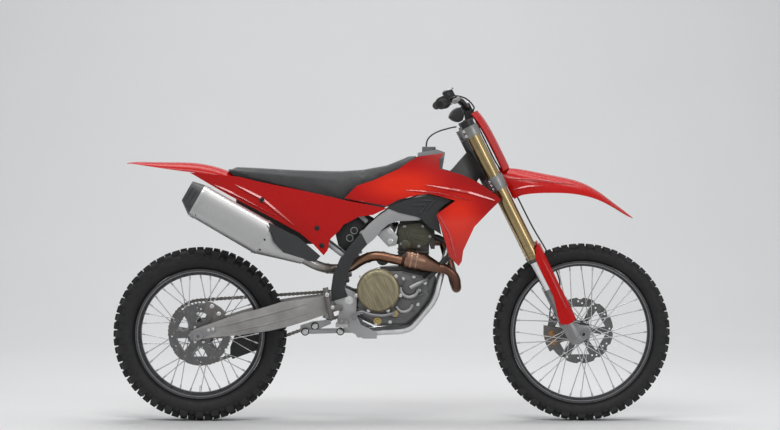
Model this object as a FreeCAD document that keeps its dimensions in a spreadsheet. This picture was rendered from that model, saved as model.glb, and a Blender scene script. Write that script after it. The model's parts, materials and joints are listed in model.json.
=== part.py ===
import FreeCAD, Part
import math
import os
import Sketcher
from FreeCAD import Placement, Rotation, Vector

# A motocross bike, full size, in millimetres.
# X points forward from the rear axle, Y to the rider's left, Z up from the ground.
# Every sub-part is then shifted so that the origin is on the rider's seat.

SIZES = {
    # The whole machine
    "wheelbase": 1494,
    "rake_angle": 26.6,
    "seat_height": 970,
    "rider_place": 540,
    "seat_gap": 0.3,
    "running_gap": 0.1,
    "overrun": 40,
    "plastic_wall": 3,
    # Rear wheel
    "rear_wheel_radius": 340,
    "rear_tyre_half_width": 56,
    "rear_rim_radius": 254,
    "rear_rim_depth": 24,
    "rear_rim_half_width": 29,
    "rear_axle_radius": 12,
    "rear_axle_half_length": 128,
    "rear_flange_line": 34,
    "rear_flange_radius": 45,
    "rear_hub_core_radius": 27,
    "rear_disc_radius": 120,
    "rear_disc_line": 60,
    "rear_disc_thickness": 4,
    "rear_disc_seat_radius": 42,
    "sprocket_line": 71,
    "sprocket_thickness": 6,
    "sprocket_seat_radius": 52,
    "chain_pitch": 15.875,
    "chain_width": 15,
    "chain_plate_height": 15,
    "chain_roller_radius": 5.1,
    # Front wheel
    "front_wheel_radius": 347,
    "front_tyre_half_width": 45,
    "front_rim_radius": 278.6,
    "front_rim_depth": 20.6,
    "front_rim_half_width": 24,
    "front_axle_radius": 11,
    "front_flange_line": 29,
    "front_flange_radius": 36,
    "front_hub_core_radius": 22,
    "front_hub_right_end": 47,
    "front_disc_radius": 130,
    "front_disc_line": 57,
    "front_disc_thickness": 3.5,
    "front_disc_seat_radius": 36,
    # Shared by both wheels
    "rim_flange_wall": 5,
    "hub_flange_thickness": 6,
    "spoke_radius": 1.8,
    "hose_radius": 3,
    "vent_radius": 3,
    "nipple_radius": 3.2,
    "nipple_length": 14,
    "lace_angle": 60,
    "axle_bore_radius": 7,
    "nut_radius": 18,
    "nut_thickness": 9,
    "spacer_radius": 17,
    "disc_slot_clearance": 2.5,
    # Front fork, measured from the front axle along and across the legs
    "leg_offset": 37,
    "clamp_offset": 22,
    "leg_line": 105,
    "upper_tube_radius": 27,
    "upper_tube_low": 345,
    "upper_tube_top": 926,
    "cap_radius": 22,
    "cap_height": 10,
    "stanchion_radius": 24,
    "lug_top": 60,
    "lug_half_width": 21,
    "top_clamp_low": 877,
    "top_clamp_high": 919,
    "low_clamp_low": 646,
    "low_clamp_high": 702,
    "clamp_wall": 7,
    "head_tube_radius": 30,
    "stem_radius": 15,
    "head_gap": 1,
    "guard_wall": 4,
    # Handlebar, measured in the fork's own frame, its height above the top clamp
    "bar_radius": 11,
    "bar_half_width": 400,
    "bar_height": 127,
    "bar_rise": 61,
    "bar_pullback": 96,
    "bar_place": 8,
    "riser_line": 38,
    "riser_width": 26,
    "grip_radius": 16,
    "grip_length": 112,
    "grip_flange_radius": 25,
    # Main frame
    "spar_outer": 106,
    "spar_wall": 14,
    "spar_waist": 850,
    "spar_neck": 975,
    "neck_half_width": 56,
    "pivot_place": 585,
    "pivot_height": 477,
    "pivot_radius": 20,
    "shock_top_place": 640,
    "shock_top_height": 735,
    "cross_tube_radius": 14,
    "foot_tube_place": 625,
    "foot_tube_height": 345,
    "cradle_tube_radius": 13,
    "down_tube_radius": 18,
    "subframe_tube_radius": 10,
    # Swingarm
    "arm_front_inner": 81,
    "arm_front_wall": 10,
    "arm_rear_inner": 92,
    "arm_rear_wall": 28,
    # Engine
    "case_half_width": 56,
    "right_cover_outer": 112,
    "left_cover_outer": 95,
    "clutch_place": 699,
    "clutch_height": 517,
    "clutch_cover_radius": 84,
    "clutch_cover_depth": 38,
    "clutch_bolt_count": 7,
    "clutch_bolt_radius": 7,
    "ignition_place": 800,
    "ignition_height": 480,
    "ignition_cover_radius": 62,
    "ignition_cover_depth": 23,
    "front_sprocket_place": 650,
    "front_sprocket_height": 476,
    "front_sprocket_teeth": 13,
    "rear_sprocket_teeth": 50,
    "cylinder_half_width": 52,
    "head_half_width": 64,
    # Exhaust
    "pipe_radius": 19,
    "chamber_radius": 37,
    "can_half_width": 52,
    "can_half_height": 69,
    # Bodywork
    "seat_half_width": 86,
    "tank_half_width": 84,
    "radiator_inner": 60,
    "radiator_outer": 122,
    "radiator_depth": 38,
    "fender_wall": 5,
    "rear_fender_half_width": 76,
    "front_fender_half_width": 94,
    "plate_half_width": 92,
}

doc = FreeCAD.newDocument("MotocrossBike")
sheet = doc.addObject("Spreadsheet::Sheet", "Sizes")


class Size:
    """A number together with the spreadsheet formula that gives it."""

    def __init__(self, value, formula):
        self.value = float(value)
        self.formula = formula

    def __float__(self):
        return self.value

    def __add__(self, other):
        return joined(self, "+", other, self.value + float(other))

    def __radd__(self, other):
        return joined(other, "+", self, float(other) + self.value)

    def __sub__(self, other):
        return joined(self, "-", other, self.value - float(other))

    def __rsub__(self, other):
        return joined(other, "-", self, float(other) - self.value)

    def __mul__(self, other):
        return joined(self, "*", other, self.value * float(other))

    def __rmul__(self, other):
        return joined(other, "*", self, float(other) * self.value)

    def __truediv__(self, other):
        return joined(self, "/", other, self.value / float(other))

    def __neg__(self):
        return joined(0, "-", self, -self.value)


def formula_of(number):
    """The formula text of a Size or of a plain number."""
    return number.formula if isinstance(number, Size) else f"({float(number)!r})"


def joined(left, sign, right, value):
    """The Size that one sum of two others gives."""
    return Size(value, f"({formula_of(left)} {sign} {formula_of(right)})")


class Sizes:
    """The spreadsheet's cells, as attributes."""


size = Sizes()
for row, (alias, number) in enumerate(SIZES.items(), 1):
    sheet.set(f"A{row}", alias)
    sheet.set(f"B{row}", str(number))
    sheet.setAlias(f"B{row}", alias)
    setattr(size, alias, Size(number, f"Sizes.{alias}"))
doc.recompute()

SIDEWAYS = Rotation(Vector(1, 0, 0), -90)
subparts = {}


# Helpers that bind objects to the sheet

def bind(item, path, number):
    """Bind one property of an object to a formula."""
    item.setExpression(path, formula_of(number))


def move_to(item, x, y, z):
    """Bind where an object's origin lies."""
    bind(item, "Placement.Base.x", x)
    bind(item, "Placement.Base.y", y)
    bind(item, "Placement.Base.z", z)


def keep(label, item, x=0, z=0):
    """Give a finished sub-part its name and its place on the bike."""
    item.Label = label
    move_to(item, x - size.rider_place, 0, z - size.seat_height)
    subparts[label] = item
    return item


def keep_on_fork(label, item):
    """Give a sub-part that is drawn in the fork's own frame its place and lean."""
    item.Label = label
    item.Placement = Placement(Vector(), Rotation(Vector(0, -1, 0), float(size.rake_angle)))
    bind(item, "Placement.Rotation.Angle", size.rake_angle)
    move_to(item, size.wheelbase - size.rider_place, 0, size.front_wheel_radius - size.seat_height)
    subparts[label] = item
    return item


def shaped(name, shape):
    """A feature whose shape is made with the functions below."""
    item = doc.addObject("Part::Feature", name)
    item.Shape = shape
    return item


def new_body(name):
    """An empty body."""
    return doc.addObject("PartDesign::Body", name)


def origin_item(body, role):
    """One of a body's own planes or axes."""
    return next(item for item in body.Origin.OriginFeatures if item.Role == role)


def new_sketch(body, name, role, lift=None):
    """A sketch on one of a body's own planes, lifted along the plane's normal."""
    sketch = body.newObject("Sketcher::SketchObject", name)
    sketch.AttachmentSupport = [(origin_item(body, role), "")]
    sketch.MapMode = "FlatFace"
    if lift is not None:
        bind(sketch, "AttachmentOffset.Base.z", lift)
    return sketch


def draw_outline(sketch, points):
    """A closed outline whose corners are bound to their sizes."""
    flat = [Vector(float(a), float(b), 0) for a, b in points]
    count = len(points)
    first = sketch.GeometryCount
    lines = [Part.LineSegment(flat[i], flat[(i + 1) % count]) for i in range(count)]
    sketch.addGeometry(lines, False)
    for i in range(count):
        here = first + i
        after = first + (i + 1) % count
        sketch.addConstraint(Sketcher.Constraint("Coincident", here, 2, after, 1))
    for i, (a, b) in enumerate(points):
        for kind, number in (("DistanceX", a), ("DistanceY", b)):
            place = sketch.addConstraint(
                Sketcher.Constraint(kind, -1, 1, first + i, 1, float(number)))
            bind(sketch, f"Constraints[{place}]", number)


def draw_circle(sketch, across, up, radius):
    """A circle whose centre and radius are bound to their sizes."""
    centre = Vector(float(across), float(up), 0)
    here = sketch.addGeometry(Part.Circle(centre, Vector(0, 0, 1), float(radius)), False)
    for kind, number in (("DistanceX", across), ("DistanceY", up)):
        place = sketch.addConstraint(Sketcher.Constraint(kind, -1, 1, here, 3, float(number)))
        bind(sketch, f"Constraints[{place}]", number)
    place = sketch.addConstraint(Sketcher.Constraint("Radius", here, float(radius)))
    bind(sketch, f"Constraints[{place}]", radius)


def padded(body, name, sketch, length):
    """A pad of a bound length."""
    pad = body.newObject("PartDesign::Pad", name)
    pad.Profile = sketch
    bind(pad, "Length", length)
    body.Tip = pad
    return pad


def side_pad(body, name, points, low, high):
    """A pad between two distances to the left, drawn as seen from the side."""
    sketch = new_sketch(body, f"{name}Outline", "XZ_Plane", -high)
    draw_outline(sketch, points)
    return padded(body, name, sketch, high - low)


def side_disc(body, name, x, z, radius, low, high):
    """A round pad between two distances to the left."""
    sketch = new_sketch(body, f"{name}Outline", "XZ_Plane", -high)
    draw_circle(sketch, x, z, radius)
    return padded(body, name, sketch, high - low)


def side_hole(body, name, x, z, radius):
    """A round hole right through, from side to side."""
    sketch = new_sketch(body, f"{name}Outline", "XZ_Plane")
    draw_circle(sketch, x, z, radius)
    hole = body.newObject("PartDesign::Pocket", name)
    hole.Profile = sketch
    hole.Type = "ThroughAll"
    hole.Midplane = True
    body.Tip = hole
    return hole


def turned(body, name, points):
    """A revolution about the Y axis of points given as distance to the left and radius."""
    sketch = new_sketch(body, f"{name}Outline", "YZ_Plane")
    draw_outline(sketch, points)
    turn = body.newObject("PartDesign::Revolution", name)
    turn.Profile = sketch
    turn.ReferenceAxis = (sketch, ["H_Axis"])
    turn.Angle = 360
    body.Tip = turn
    return turn


def ring_of(body, name, feature, count):
    """A feature repeated round the body's Y axis."""
    pattern = body.newObject("PartDesign::PolarPattern", name)
    pattern.Originals = [feature]
    pattern.Axis = (origin_item(body, "Y_Axis"), [""])
    pattern.Angle = 360
    if isinstance(count, Size):
        pattern.Occurrences = round(float(count))
        bind(pattern, "Occurrences", count)
    else:
        pattern.Occurrences = count
    body.Tip = pattern
    return pattern


def rod(name, radius, low, high, x=0, z=0):
    """A cylinder that lies across the bike, between two distances to the left."""
    item = doc.addObject("Part::Cylinder", name)
    item.Placement = Placement(Vector(), SIDEWAYS)
    bind(item, "Radius", radius)
    bind(item, "Height", high - low)
    move_to(item, x, low, z)
    return item


def post(name, radius, low, high, x=0, y=0):
    """A cylinder that stands up, between two heights."""
    item = doc.addObject("Part::Cylinder", name)
    bind(item, "Radius", radius)
    bind(item, "Height", high - low)
    move_to(item, x, y, low)
    return item


def fused(name, items):
    """Several objects joined into one."""
    item = doc.addObject("Part::MultiFuse", name)
    item.Shapes = items
    return item


def cut(name, base, tool):
    """One object with another taken away."""
    item = doc.addObject("Part::Cut", name)
    item.Base = base
    item.Tool = tool
    return item


def together(name, items):
    """Separate solids that share one name."""
    item = doc.addObject("Part::Compound", name)
    item.Links = items
    return item


def mirrored(name, source):
    """A copy on the other side of the bike."""
    item = doc.addObject("Part::Mirroring", name)
    item.Source = source
    item.Base = Vector(0, 0, 0)
    item.Normal = Vector(0, 1, 0)
    return item


# Helpers that make shapes

def spot(x, y, z):
    """A point from three sizes."""
    return Vector(float(x), float(y), float(z))


def both_sides(shape):
    """A shape and its mirror image on the other side of the bike."""
    return [shape, shape.mirror(Vector(0, 0, 0), Vector(0, 1, 0))]


def spread(shares, x, z, length, height):
    """Outline points from shares of a length and a height."""
    return [(x + a * length, z + b * height) for a, b in shares]


def side_prism(points, low, high):
    """A prism between two distances to the left, drawn as seen from the side."""
    corners = [spot(x, low, z) for x, z in points]
    face = Part.Face(Part.makePolygon(corners + corners[:1]))
    return face.extrude(spot(0, high - low, 0))


def plan_prism(points, low, high):
    """A prism between two heights, drawn as seen from above."""
    corners = [spot(x, y, low) for x, y in points]
    face = Part.Face(Part.makePolygon(corners + corners[:1]))
    return face.extrude(spot(0, 0, high - low))


def front_prism(points, low, high):
    """A prism between two places along the bike, drawn as seen from the front."""
    corners = [spot(low, y, z) for y, z in points]
    face = Part.Face(Part.makePolygon(corners + corners[:1]))
    return face.extrude(spot(high - low, 0, 0))


def sheet_through(rows, wall):
    """A smooth skin through rows of points, given its wall."""
    surface = Part.BSplineSurface()
    surface.interpolate([[spot(*point) for point in row] for row in rows])
    return surface.toShape().extrude(spot(*wall))


def bent_path(points):
    """Straight runs joined by tangent arcs as large as their runs allow."""
    spots = [spot(*point) for point in points]
    edges = []
    start = spots[0]
    for before, corner, after in zip(spots, spots[1:], spots[2:]):
        way_in = (corner - before).normalize()
        way_out = (after - corner).normalize()
        trim = min((corner - before).Length, (after - corner).Length) * BEND_SHARE
        arc_in = corner - way_in * trim
        arc_out = corner + way_out * trim
        half_turn = way_in.getAngle(way_out) / 2
        inward = (way_out - way_in).normalize()
        sag = trim * math.tan(half_turn / 2)
        middle = corner + inward * (trim * math.sin(half_turn) - sag * math.cos(half_turn))
        edges.append(Part.LineSegment(start, arc_in).toShape())
        edges.append(Part.Arc(arc_in, middle, arc_out).toShape())
        start = arc_out
    edges.append(Part.LineSegment(start, spots[-1]).toShape())
    return Part.Wire(edges)


BEND_SHARE = 0.45


def tube(points, radius):
    """A round bar that follows a bent path."""
    path = bent_path(points)
    start = path.Edges[0].Vertexes[0].Point
    aim = path.Edges[0].tangentAt(path.Edges[0].FirstParameter)
    ring = Part.Wire([Part.makeCircle(float(radius), start, aim)])
    return path.makePipeShell([ring], True, True)


def bar_between(first, last, radius):
    """A straight round bar between two points."""
    start = spot(*first)
    aim = spot(*last) - start
    return Part.makeCylinder(float(radius), aim.Length, start, aim)


def largest(shape):
    """The largest solid of a shape."""
    return max(shape.Solids, key=lambda solid: solid.Volume)


def merged(shapes):
    """Solids joined into one."""
    return shapes[0].multiFuse(shapes[1:]).removeSplitter()


# Wheels

# Half of a carcass, and half of a shoulder lug, as shares of the tyre's half width and depth
CARCASS_SHARES = [(0.42, 0.00), (0.92, 0.28), (0.92, 0.62), (0.46, 0.81)]
SHOULDER_SHARES = [(0.55, 0.60), (0.46, 0.93), (1.00, 0.80), (1.00, 0.60)]
CENTRE_SHARES = [(-0.36, 0.70), (-0.36, 1.00), (0.36, 1.00), (0.36, 0.70)]
LUG_PITCHES = 32
LUG_LENGTH_SHARE = 0.24


def section(shares, half_width, low, depth, angle, along_tyre):
    """Points of a tyre's section at an angle about the axle, moved along the tread."""
    turn = Vector(math.cos(angle), 0, math.sin(angle))
    side = Vector(-math.sin(angle), 0, math.cos(angle))
    points = []
    for across, up in shares:
        reach = float(low + depth * up)
        points.append(turn * reach + side * along_tyre + Vector(0, float(half_width * across), 0))
    return points


def flat_faced_ring(shares, half_width, low, depth):
    """A ring of flat faces through one section at every pitch."""
    step = 2 * math.pi / LUG_PITCHES
    stretch = 1 / math.cos(step / 2)
    rings = []
    for pitch in range(LUG_PITCHES):
        points = section(shares, half_width, low, depth, pitch * step, 0)
        rings.append([Vector(p.x * stretch, p.y, p.z * stretch) for p in points])
    faces = []
    count = len(shares)
    for pitch in range(LUG_PITCHES):
        here = rings[pitch]
        there = rings[(pitch + 1) % LUG_PITCHES]
        for i in range(count):
            k = (i + 1) % count
            corners = [here[i], here[k], there[k], there[i]]
            faces.append(Part.Face(Part.makePolygon(corners + corners[:1])))
    solid = Part.Solid(Part.Shell(faces))
    if solid.Volume < 0:
        solid.reverse()
    return solid


def lug(shares, half_width, low, depth, angle, length):
    """One lug: a section of flat faces carried along the tread."""
    start = section(shares, half_width, low, depth, angle, -length / 2)
    side = Vector(-math.sin(angle), 0, math.cos(angle))
    face = Part.Face(Part.makePolygon(start + start[:1]))
    return face.extrude(side * length)


def tyre(label, wheel_radius, rim_radius, half_width, x, z):
    """A tyre with a row of lugs across the middle and a pair on the shoulders in between."""
    step = 2 * math.pi / LUG_PITCHES
    reach = float(wheel_radius)
    length = reach * step * LUG_LENGTH_SHARE
    half_step_loss = reach * (1 - math.cos(length / 2 / reach))
    low = rim_radius + size.seat_gap
    depth = wheel_radius - half_step_loss - low
    left = CARCASS_SHARES
    right = [(-a, b) for a, b in reversed(CARCASS_SHARES)]
    ring = flat_faced_ring(left + right, half_width, low, depth)
    lugs = []
    for pitch in range(LUG_PITCHES):
        angle = (pitch + 0.5) * step
        between = pitch * step
        lugs.append(lug(CENTRE_SHARES, half_width, low, depth, angle, length))
        lugs.append(lug(SHOULDER_SHARES, half_width, low, depth, between, length))
        mirror = [(-a, b) for a, b in SHOULDER_SHARES]
        lugs.append(lug(mirror, half_width, low, depth, between, length))
    keep(label, shaped(f"{label}Rubber", ring.multiFuse(lugs)), x, z)


def rim(label, radius, depth, half_width, x, z):
    """A rim with two flanges and a dropped well."""
    body = new_body(f"{label}Body")
    wall = size.rim_flange_wall
    well = half_width * 0.4
    half = [
        (half_width, radius),
        (half_width - wall, radius),
        (half_width - wall, radius - depth * 0.45),
        (well, radius - depth * 0.75),
    ]
    low = [(well, radius - depth), (half_width, radius - depth * 0.55)]
    top = [(-y, r) for y, r in half] + [(y, r) for y, r in reversed(half)]
    under = [(y, r) for y, r in reversed(low)] + [(-y, r) for y, r in low]
    turned(body, "Section", top + under)
    keep(label, body, x, z)


def hub(label, axle, line, flange_radius, core, right_end, right_seat, left_end, left_seat, x, z):
    """A hub with two spoke flanges and a seat at each end."""
    body = new_body(f"{label}Body")
    half = size.hub_flange_thickness / 2
    bore = axle + size.running_gap
    step = size.hub_flange_thickness
    points = [
        (-right_end, bore),
        (-right_end, right_seat),
        (step - right_end, right_seat),
        (step * 1.5 - right_end, core),
        (-line - half, core),
        (-line - half, flange_radius),
        (half - line, flange_radius),
        (half - line + step, core),
        (line - half - step, core),
        (line - half, flange_radius),
        (line + half, flange_radius),
        (line + half, core),
        (left_end - step * 1.5, core),
        (left_end - step, left_seat),
        (left_end, left_seat),
        (left_end, bore),
    ]
    turned(body, "Section", points)
    keep(label, body, x, z)


def spokes(label, line, flange_radius, rim_inner, x, z):
    """Thirty-six crossed spokes with their nipples."""
    offset = size.spoke_radius * 1.35
    solids = []
    for number in range(SPOKE_COUNT):
        side = 1 if number % 2 else -1
        family = 1 if (number // 2) % 2 else -1
        angle = 2 * math.pi * number / SPOKE_COUNT
        root_angle = angle + family * math.radians(float(size.lace_angle))
        tip_radius = rim_inner - size.seat_gap - size.nipple_radius * 0.3
        root_radius = flange_radius + size.spoke_radius + size.seat_gap
        tip_y = side * (size.hub_flange_thickness + family * offset)
        root_y = side * (line + family * offset)
        tip = spot(tip_radius * math.cos(angle), tip_y, tip_radius * math.sin(angle))
        root = spot(root_radius * math.cos(root_angle), root_y, root_radius * math.sin(root_angle))
        aim = root - tip
        reach = float(size.nipple_length)
        turn = aim.normalize()
        wire = Part.makeCylinder(float(size.spoke_radius), (root - tip).Length, root, -turn)
        nipple = Part.makeCylinder(float(size.nipple_radius), reach, tip, turn)
        solids.append(wire.fuse(nipple))
    keep(label, shaped(f"{label}Wires", Part.Compound(solids)), x, z)


SPOKE_COUNT = 36


def disc(label, radius, line, thickness, seat_radius, x, z):
    """A brake disc with a braking ring, carried by arms, on the hub's seat."""
    body = new_body(f"{label}Body")
    low = line - thickness / 2
    high = line + thickness / 2
    side_disc(body, "Plate", 0, 0, radius, low, high)
    side_hole(body, "Middle", 0, 0, seat_radius * 0.6)
    window = new_sketch(body, "WindowOutline", "XZ_Plane")
    reach = radius * 0.72
    spread_half = radius * 0.22
    root = seat_radius * 1.12
    draw_outline(window, [
        (-spread_half * 0.45, root),
        (spread_half * 0.45, root),
        (spread_half * 1.25, reach),
        (-spread_half * 1.25, reach),
    ])
    hole = body.newObject("PartDesign::Pocket", "Window")
    hole.Profile = window
    hole.Type = "ThroughAll"
    hole.Midplane = True
    body.Tip = hole
    ring_of(body, "Windows", hole, DISC_ARMS)
    notch = new_sketch(body, "NotchOutline", "XZ_Plane")
    draw_circle(notch, 0, radius * 1.06, radius * 0.11)
    bite = body.newObject("PartDesign::Pocket", "Notch")
    bite.Profile = notch
    bite.Type = "ThroughAll"
    bite.Midplane = True
    body.Tip = bite
    ring_of(body, "Notches", bite, DISC_NOTCHES)
    vent = new_sketch(body, "VentOutline", "XZ_Plane")
    draw_circle(vent, radius * 0.06, radius * 0.83, radius * 0.028)
    draw_circle(vent, -radius * 0.06, radius * 0.89, radius * 0.028)
    bore = body.newObject("PartDesign::Pocket", "Vent")
    bore.Profile = vent
    bore.Type = "ThroughAll"
    bore.Midplane = True
    body.Tip = bore
    ring_of(body, "Vents", bore, DISC_NOTCHES)
    keep(label, body, x, z)


DISC_ARMS = 6
DISC_NOTCHES = 12


def pitch_radius(teeth):
    """The radius on which a chain's pins lie round a sprocket."""
    return size.chain_pitch / (2 * math.sin(math.pi / float(teeth)))


def tooth_tip(teeth):
    """How far a sprocket's teeth may reach inside the chain's own corners."""
    return pitch_radius(teeth) * math.cos(math.pi / float(teeth)) - size.chain_roller_radius * 1.1


def rear_sprocket():
    """The driven sprocket, its teeth below the chain's rollers so that it turns freely."""
    body = new_body("rear_sprocketBody")
    low = size.sprocket_line - size.sprocket_thickness / 2
    high = size.sprocket_line + size.sprocket_thickness / 2
    tip = tooth_tip(size.rear_sprocket_teeth)
    foot = tip - size.chain_roller_radius * 1.2
    side_disc(body, "Plate", 0, 0, foot, low, high)
    half = size.chain_roller_radius * 0.75
    tooth = side_pad(body, "Tooth", [
        (-half, foot * 0.98), (half, foot * 0.98), (half, foot + half * 0.2), (half * 0.35, tip),
        (-half * 0.35, tip), (-half, foot + half * 0.2),
    ], low, high)
    ring_of(body, "Teeth", tooth, size.rear_sprocket_teeth)
    side_hole(body, "Middle", 0, 0, size.sprocket_seat_radius * 0.5)
    window = new_sketch(body, "WindowOutline", "XZ_Plane")
    root = size.sprocket_seat_radius * 1.1
    reach = foot * 0.84
    draw_outline(window, [
        (-root * 0.25, root),
        (root * 0.25, root),
        (root * 0.52, reach),
        (-root * 0.52, reach),
    ])
    hole = body.newObject("PartDesign::Pocket", "Window")
    hole.Profile = window
    hole.Type = "ThroughAll"
    hole.Midplane = True
    body.Tip = hole
    ring_of(body, "Windows", hole, DISC_ARMS)
    keep("rear_sprocket", body, 0, size.rear_wheel_radius)


def wheels():
    """Both wheels, each a tyre, a rim, spokes, a hub and a disc."""
    rear_z = size.rear_wheel_radius
    front_z = size.front_wheel_radius
    front_x = size.wheelbase
    tyre("rear_tyre", size.rear_wheel_radius, size.rear_rim_radius, size.rear_tyre_half_width, 0, rear_z)
    tyre("front_tyre", size.front_wheel_radius, size.front_rim_radius, size.front_tyre_half_width,
         front_x, front_z)
    rim("rear_rim", size.rear_rim_radius, size.rear_rim_depth, size.rear_rim_half_width, 0, rear_z)
    rim("front_rim", size.front_rim_radius, size.front_rim_depth, size.front_rim_half_width, front_x,
        front_z)
    rear_disc_end = size.rear_disc_line - size.rear_disc_thickness / 2 - size.seat_gap
    sprocket_end = size.sprocket_line - size.sprocket_thickness / 2 - size.seat_gap
    hub("rear_hub", size.rear_axle_radius, size.rear_flange_line, size.rear_flange_radius,
        size.rear_hub_core_radius, rear_disc_end, size.rear_disc_seat_radius,
        sprocket_end, size.sprocket_seat_radius, 0, rear_z)
    front_disc_end = size.front_disc_line - size.front_disc_thickness / 2 - size.seat_gap
    right_end = size.front_hub_right_end
    hub("front_hub", size.front_axle_radius, size.front_flange_line, size.front_flange_radius,
        size.front_hub_core_radius, right_end, size.front_hub_core_radius,
        front_disc_end, size.front_disc_seat_radius, front_x, front_z)
    spokes("rear_spokes", size.rear_flange_line, size.rear_flange_radius,
           size.rear_rim_radius - size.rear_rim_depth, 0, rear_z)
    spokes("front_spokes", size.front_flange_line, size.front_flange_radius,
           size.front_rim_radius - size.front_rim_depth, front_x, front_z)
    disc("rear_disc", size.rear_disc_radius, -size.rear_disc_line, size.rear_disc_thickness,
         size.rear_disc_seat_radius, 0, rear_z)
    disc("front_disc", size.front_disc_radius, size.front_disc_line, size.front_disc_thickness,
         size.front_disc_seat_radius, front_x, front_z)
    rear_sprocket()


def axles():
    """Both hollow axles with their nuts and the spacers beside the hubs."""
    gap = size.seat_gap
    nut_start = size.arm_rear_inner + size.arm_rear_wall + gap
    half = nut_start + size.nut_thickness
    shaft = rod("RearShaft", size.rear_axle_radius, -half, half)
    right_nut = rod("RearRightNut", size.nut_radius, -half, -nut_start)
    left_nut = rod("RearLeftNut", size.nut_radius, nut_start, half)
    right_spacer = rod("RearRightSpacer", size.spacer_radius, gap - size.arm_rear_inner,
                       -size.rear_disc_line - size.rear_disc_thickness / 2 - gap)
    left_spacer = rod("RearLeftSpacer", size.spacer_radius,
                      size.sprocket_line + size.sprocket_thickness / 2 + gap, size.arm_rear_inner - gap)
    solid = fused("RearAxleSolid", [shaft, right_nut, left_nut, right_spacer, left_spacer])
    bore = rod("RearAxleBore", size.axle_bore_radius, -half - size.overrun, half + size.overrun)
    keep("rear_axle", cut("RearAxle", solid, bore), 0, size.rear_wheel_radius)
    lug_inner = size.leg_line - size.lug_half_width
    lug_outer = size.leg_line + size.lug_half_width
    end = lug_outer + size.nut_thickness / 2
    shaft = rod("FrontShaft", size.front_axle_radius, -end, end)
    hub_right = size.front_hub_right_end
    right_spacer = rod("FrontRightSpacer", size.spacer_radius, gap - lug_inner, -hub_right - gap)
    left_spacer = rod("FrontLeftSpacer", size.spacer_radius,
                      size.front_disc_line + size.front_disc_thickness / 2 + gap, lug_inner - gap)
    left_nut = rod("FrontLeftNut", size.nut_radius * 0.8, lug_outer + gap, end)
    solid = fused("FrontAxleSolid", [shaft, right_spacer, left_spacer, left_nut])
    bore = rod("FrontAxleBore", size.axle_bore_radius, -end - size.overrun, end + size.overrun)
    keep_on_fork("front_axle", cut("FrontAxle", solid, bore))


# Chassis

SPAR_TOP = [(1.00, 0.99), (0.88, 0.89), (0.66, 0.76), (0.39, 0.68), (0.34, 0.65), (0.27, 0.60), (0.22, 0.56)]


def steering_place(height):
    """How far forward the steering axis lies at a height, in the bike's frame."""
    lean = math.radians(float(size.rake_angle))
    back = (size.leg_offset + size.clamp_offset) / math.cos(lean)
    return size.wheelbase - back - (height - size.front_wheel_radius) * math.tan(lean)


def fork_point(u, y, w):
    """A point of the fork's own frame, in the bike's frame."""
    lean = math.radians(float(size.rake_angle))
    x = size.wheelbase + u * math.cos(lean) - w * math.sin(lean)
    z = size.front_wheel_radius + u * math.sin(lean) + w * math.cos(lean)
    return x, y, z


def head_end(w):
    """The height of a place on the steering axis, in the bike's frame."""
    return fork_point(-size.leg_offset - size.clamp_offset, 0, w)[2]


FRAME_SHARES = [
    (0.895, 0.950), (0.790, 0.855), (0.580, 0.730), (0.365, 0.655), (0.310, 0.625), (0.243, 0.580),
    (0.195, 0.540), (0.145, 0.468), (0.075, 0.405), (0.022, 0.333), (0.000, 0.262), (0.010, 0.197),
    (0.050, 0.150), (0.040, 0.107), (0.070, 0.057), (0.205, 0.000), (0.295, 0.000), (0.295, 0.031),
    (0.190, 0.072), (0.160, 0.122), (0.163, 0.230), (0.090, 0.256), (0.088, 0.299), (0.110, 0.350),
    (0.155, 0.415), (0.230, 0.475), (0.275, 0.503), (0.325, 0.550), (0.370, 0.580), (0.425, 0.595),
    (0.570, 0.600), (0.815, 0.680), (0.985, 0.825), (0.975, 0.870),
]


def main_frame():
    """Twin spars from the head tube down to the swingarm's pivot plates."""
    length = size.wheelbase * 0.398
    x = size.pivot_place - size.wheelbase * 0.045
    z = size.foot_tube_height - size.cross_tube_radius * 1.2
    height = (head_end(size.top_clamp_low) - z) * 0.9867
    outline = spread(FRAME_SHARES, x, z, length, height)
    outer = size.spar_outer
    side = side_prism(outline, -outer, outer)
    inner = outer - size.spar_wall
    neck = size.neck_half_width
    head_x = x + length
    plan_half = [
        (x - size.overrun, inner), (x - size.overrun, outer), (size.spar_waist, outer),
        (size.spar_neck, neck),
        (head_x, size.head_tube_radius * 1.1), (head_x, 0), (head_x - size.head_tube_radius * 2, 0),
        (size.spar_neck - size.spar_wall, neck - size.spar_wall * 1.7),
        (size.spar_waist - size.spar_wall, inner),
    ]
    plan = plan_prism(plan_half, z - size.overrun, z + height + size.overrun)
    bands = merged(both_sides(plan))
    shell = side.common(bands)
    steering = -size.leg_offset - size.clamp_offset
    foot = spot(*fork_point(steering, 0, size.low_clamp_high + size.head_gap))
    top = spot(*fork_point(steering, 0, size.top_clamp_low - size.head_gap))
    aim = top - foot
    head = Part.makeCylinder(float(size.head_tube_radius), aim.Length, foot, aim)
    tower = bar_between((size.shock_top_place, -inner, size.shock_top_height),
                        (size.shock_top_place, inner, size.shock_top_height), size.cross_tube_radius)
    low = bar_between((size.foot_tube_place, -inner, size.foot_tube_height),
                      (size.foot_tube_place, inner, size.foot_tube_height), size.cross_tube_radius)
    solid = merged([shell, head, tower, low])
    bore_radius = float(size.stem_radius + size.running_gap)
    over = aim.normalize() * float(size.overrun)
    bore = Part.makeCylinder(bore_radius, (top - foot).Length + 2 * float(size.overrun), foot - over, over)
    pivot = bar_between((size.pivot_place, -outer - size.overrun, size.pivot_height),
                        (size.pivot_place, outer + size.overrun, size.pivot_height),
                        size.pivot_radius * 0.5 + size.running_gap)
    solid = solid.cut(bore).cut(pivot)
    keep("main_frame", shaped("MainFrame", solid))
    return solid


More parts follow.
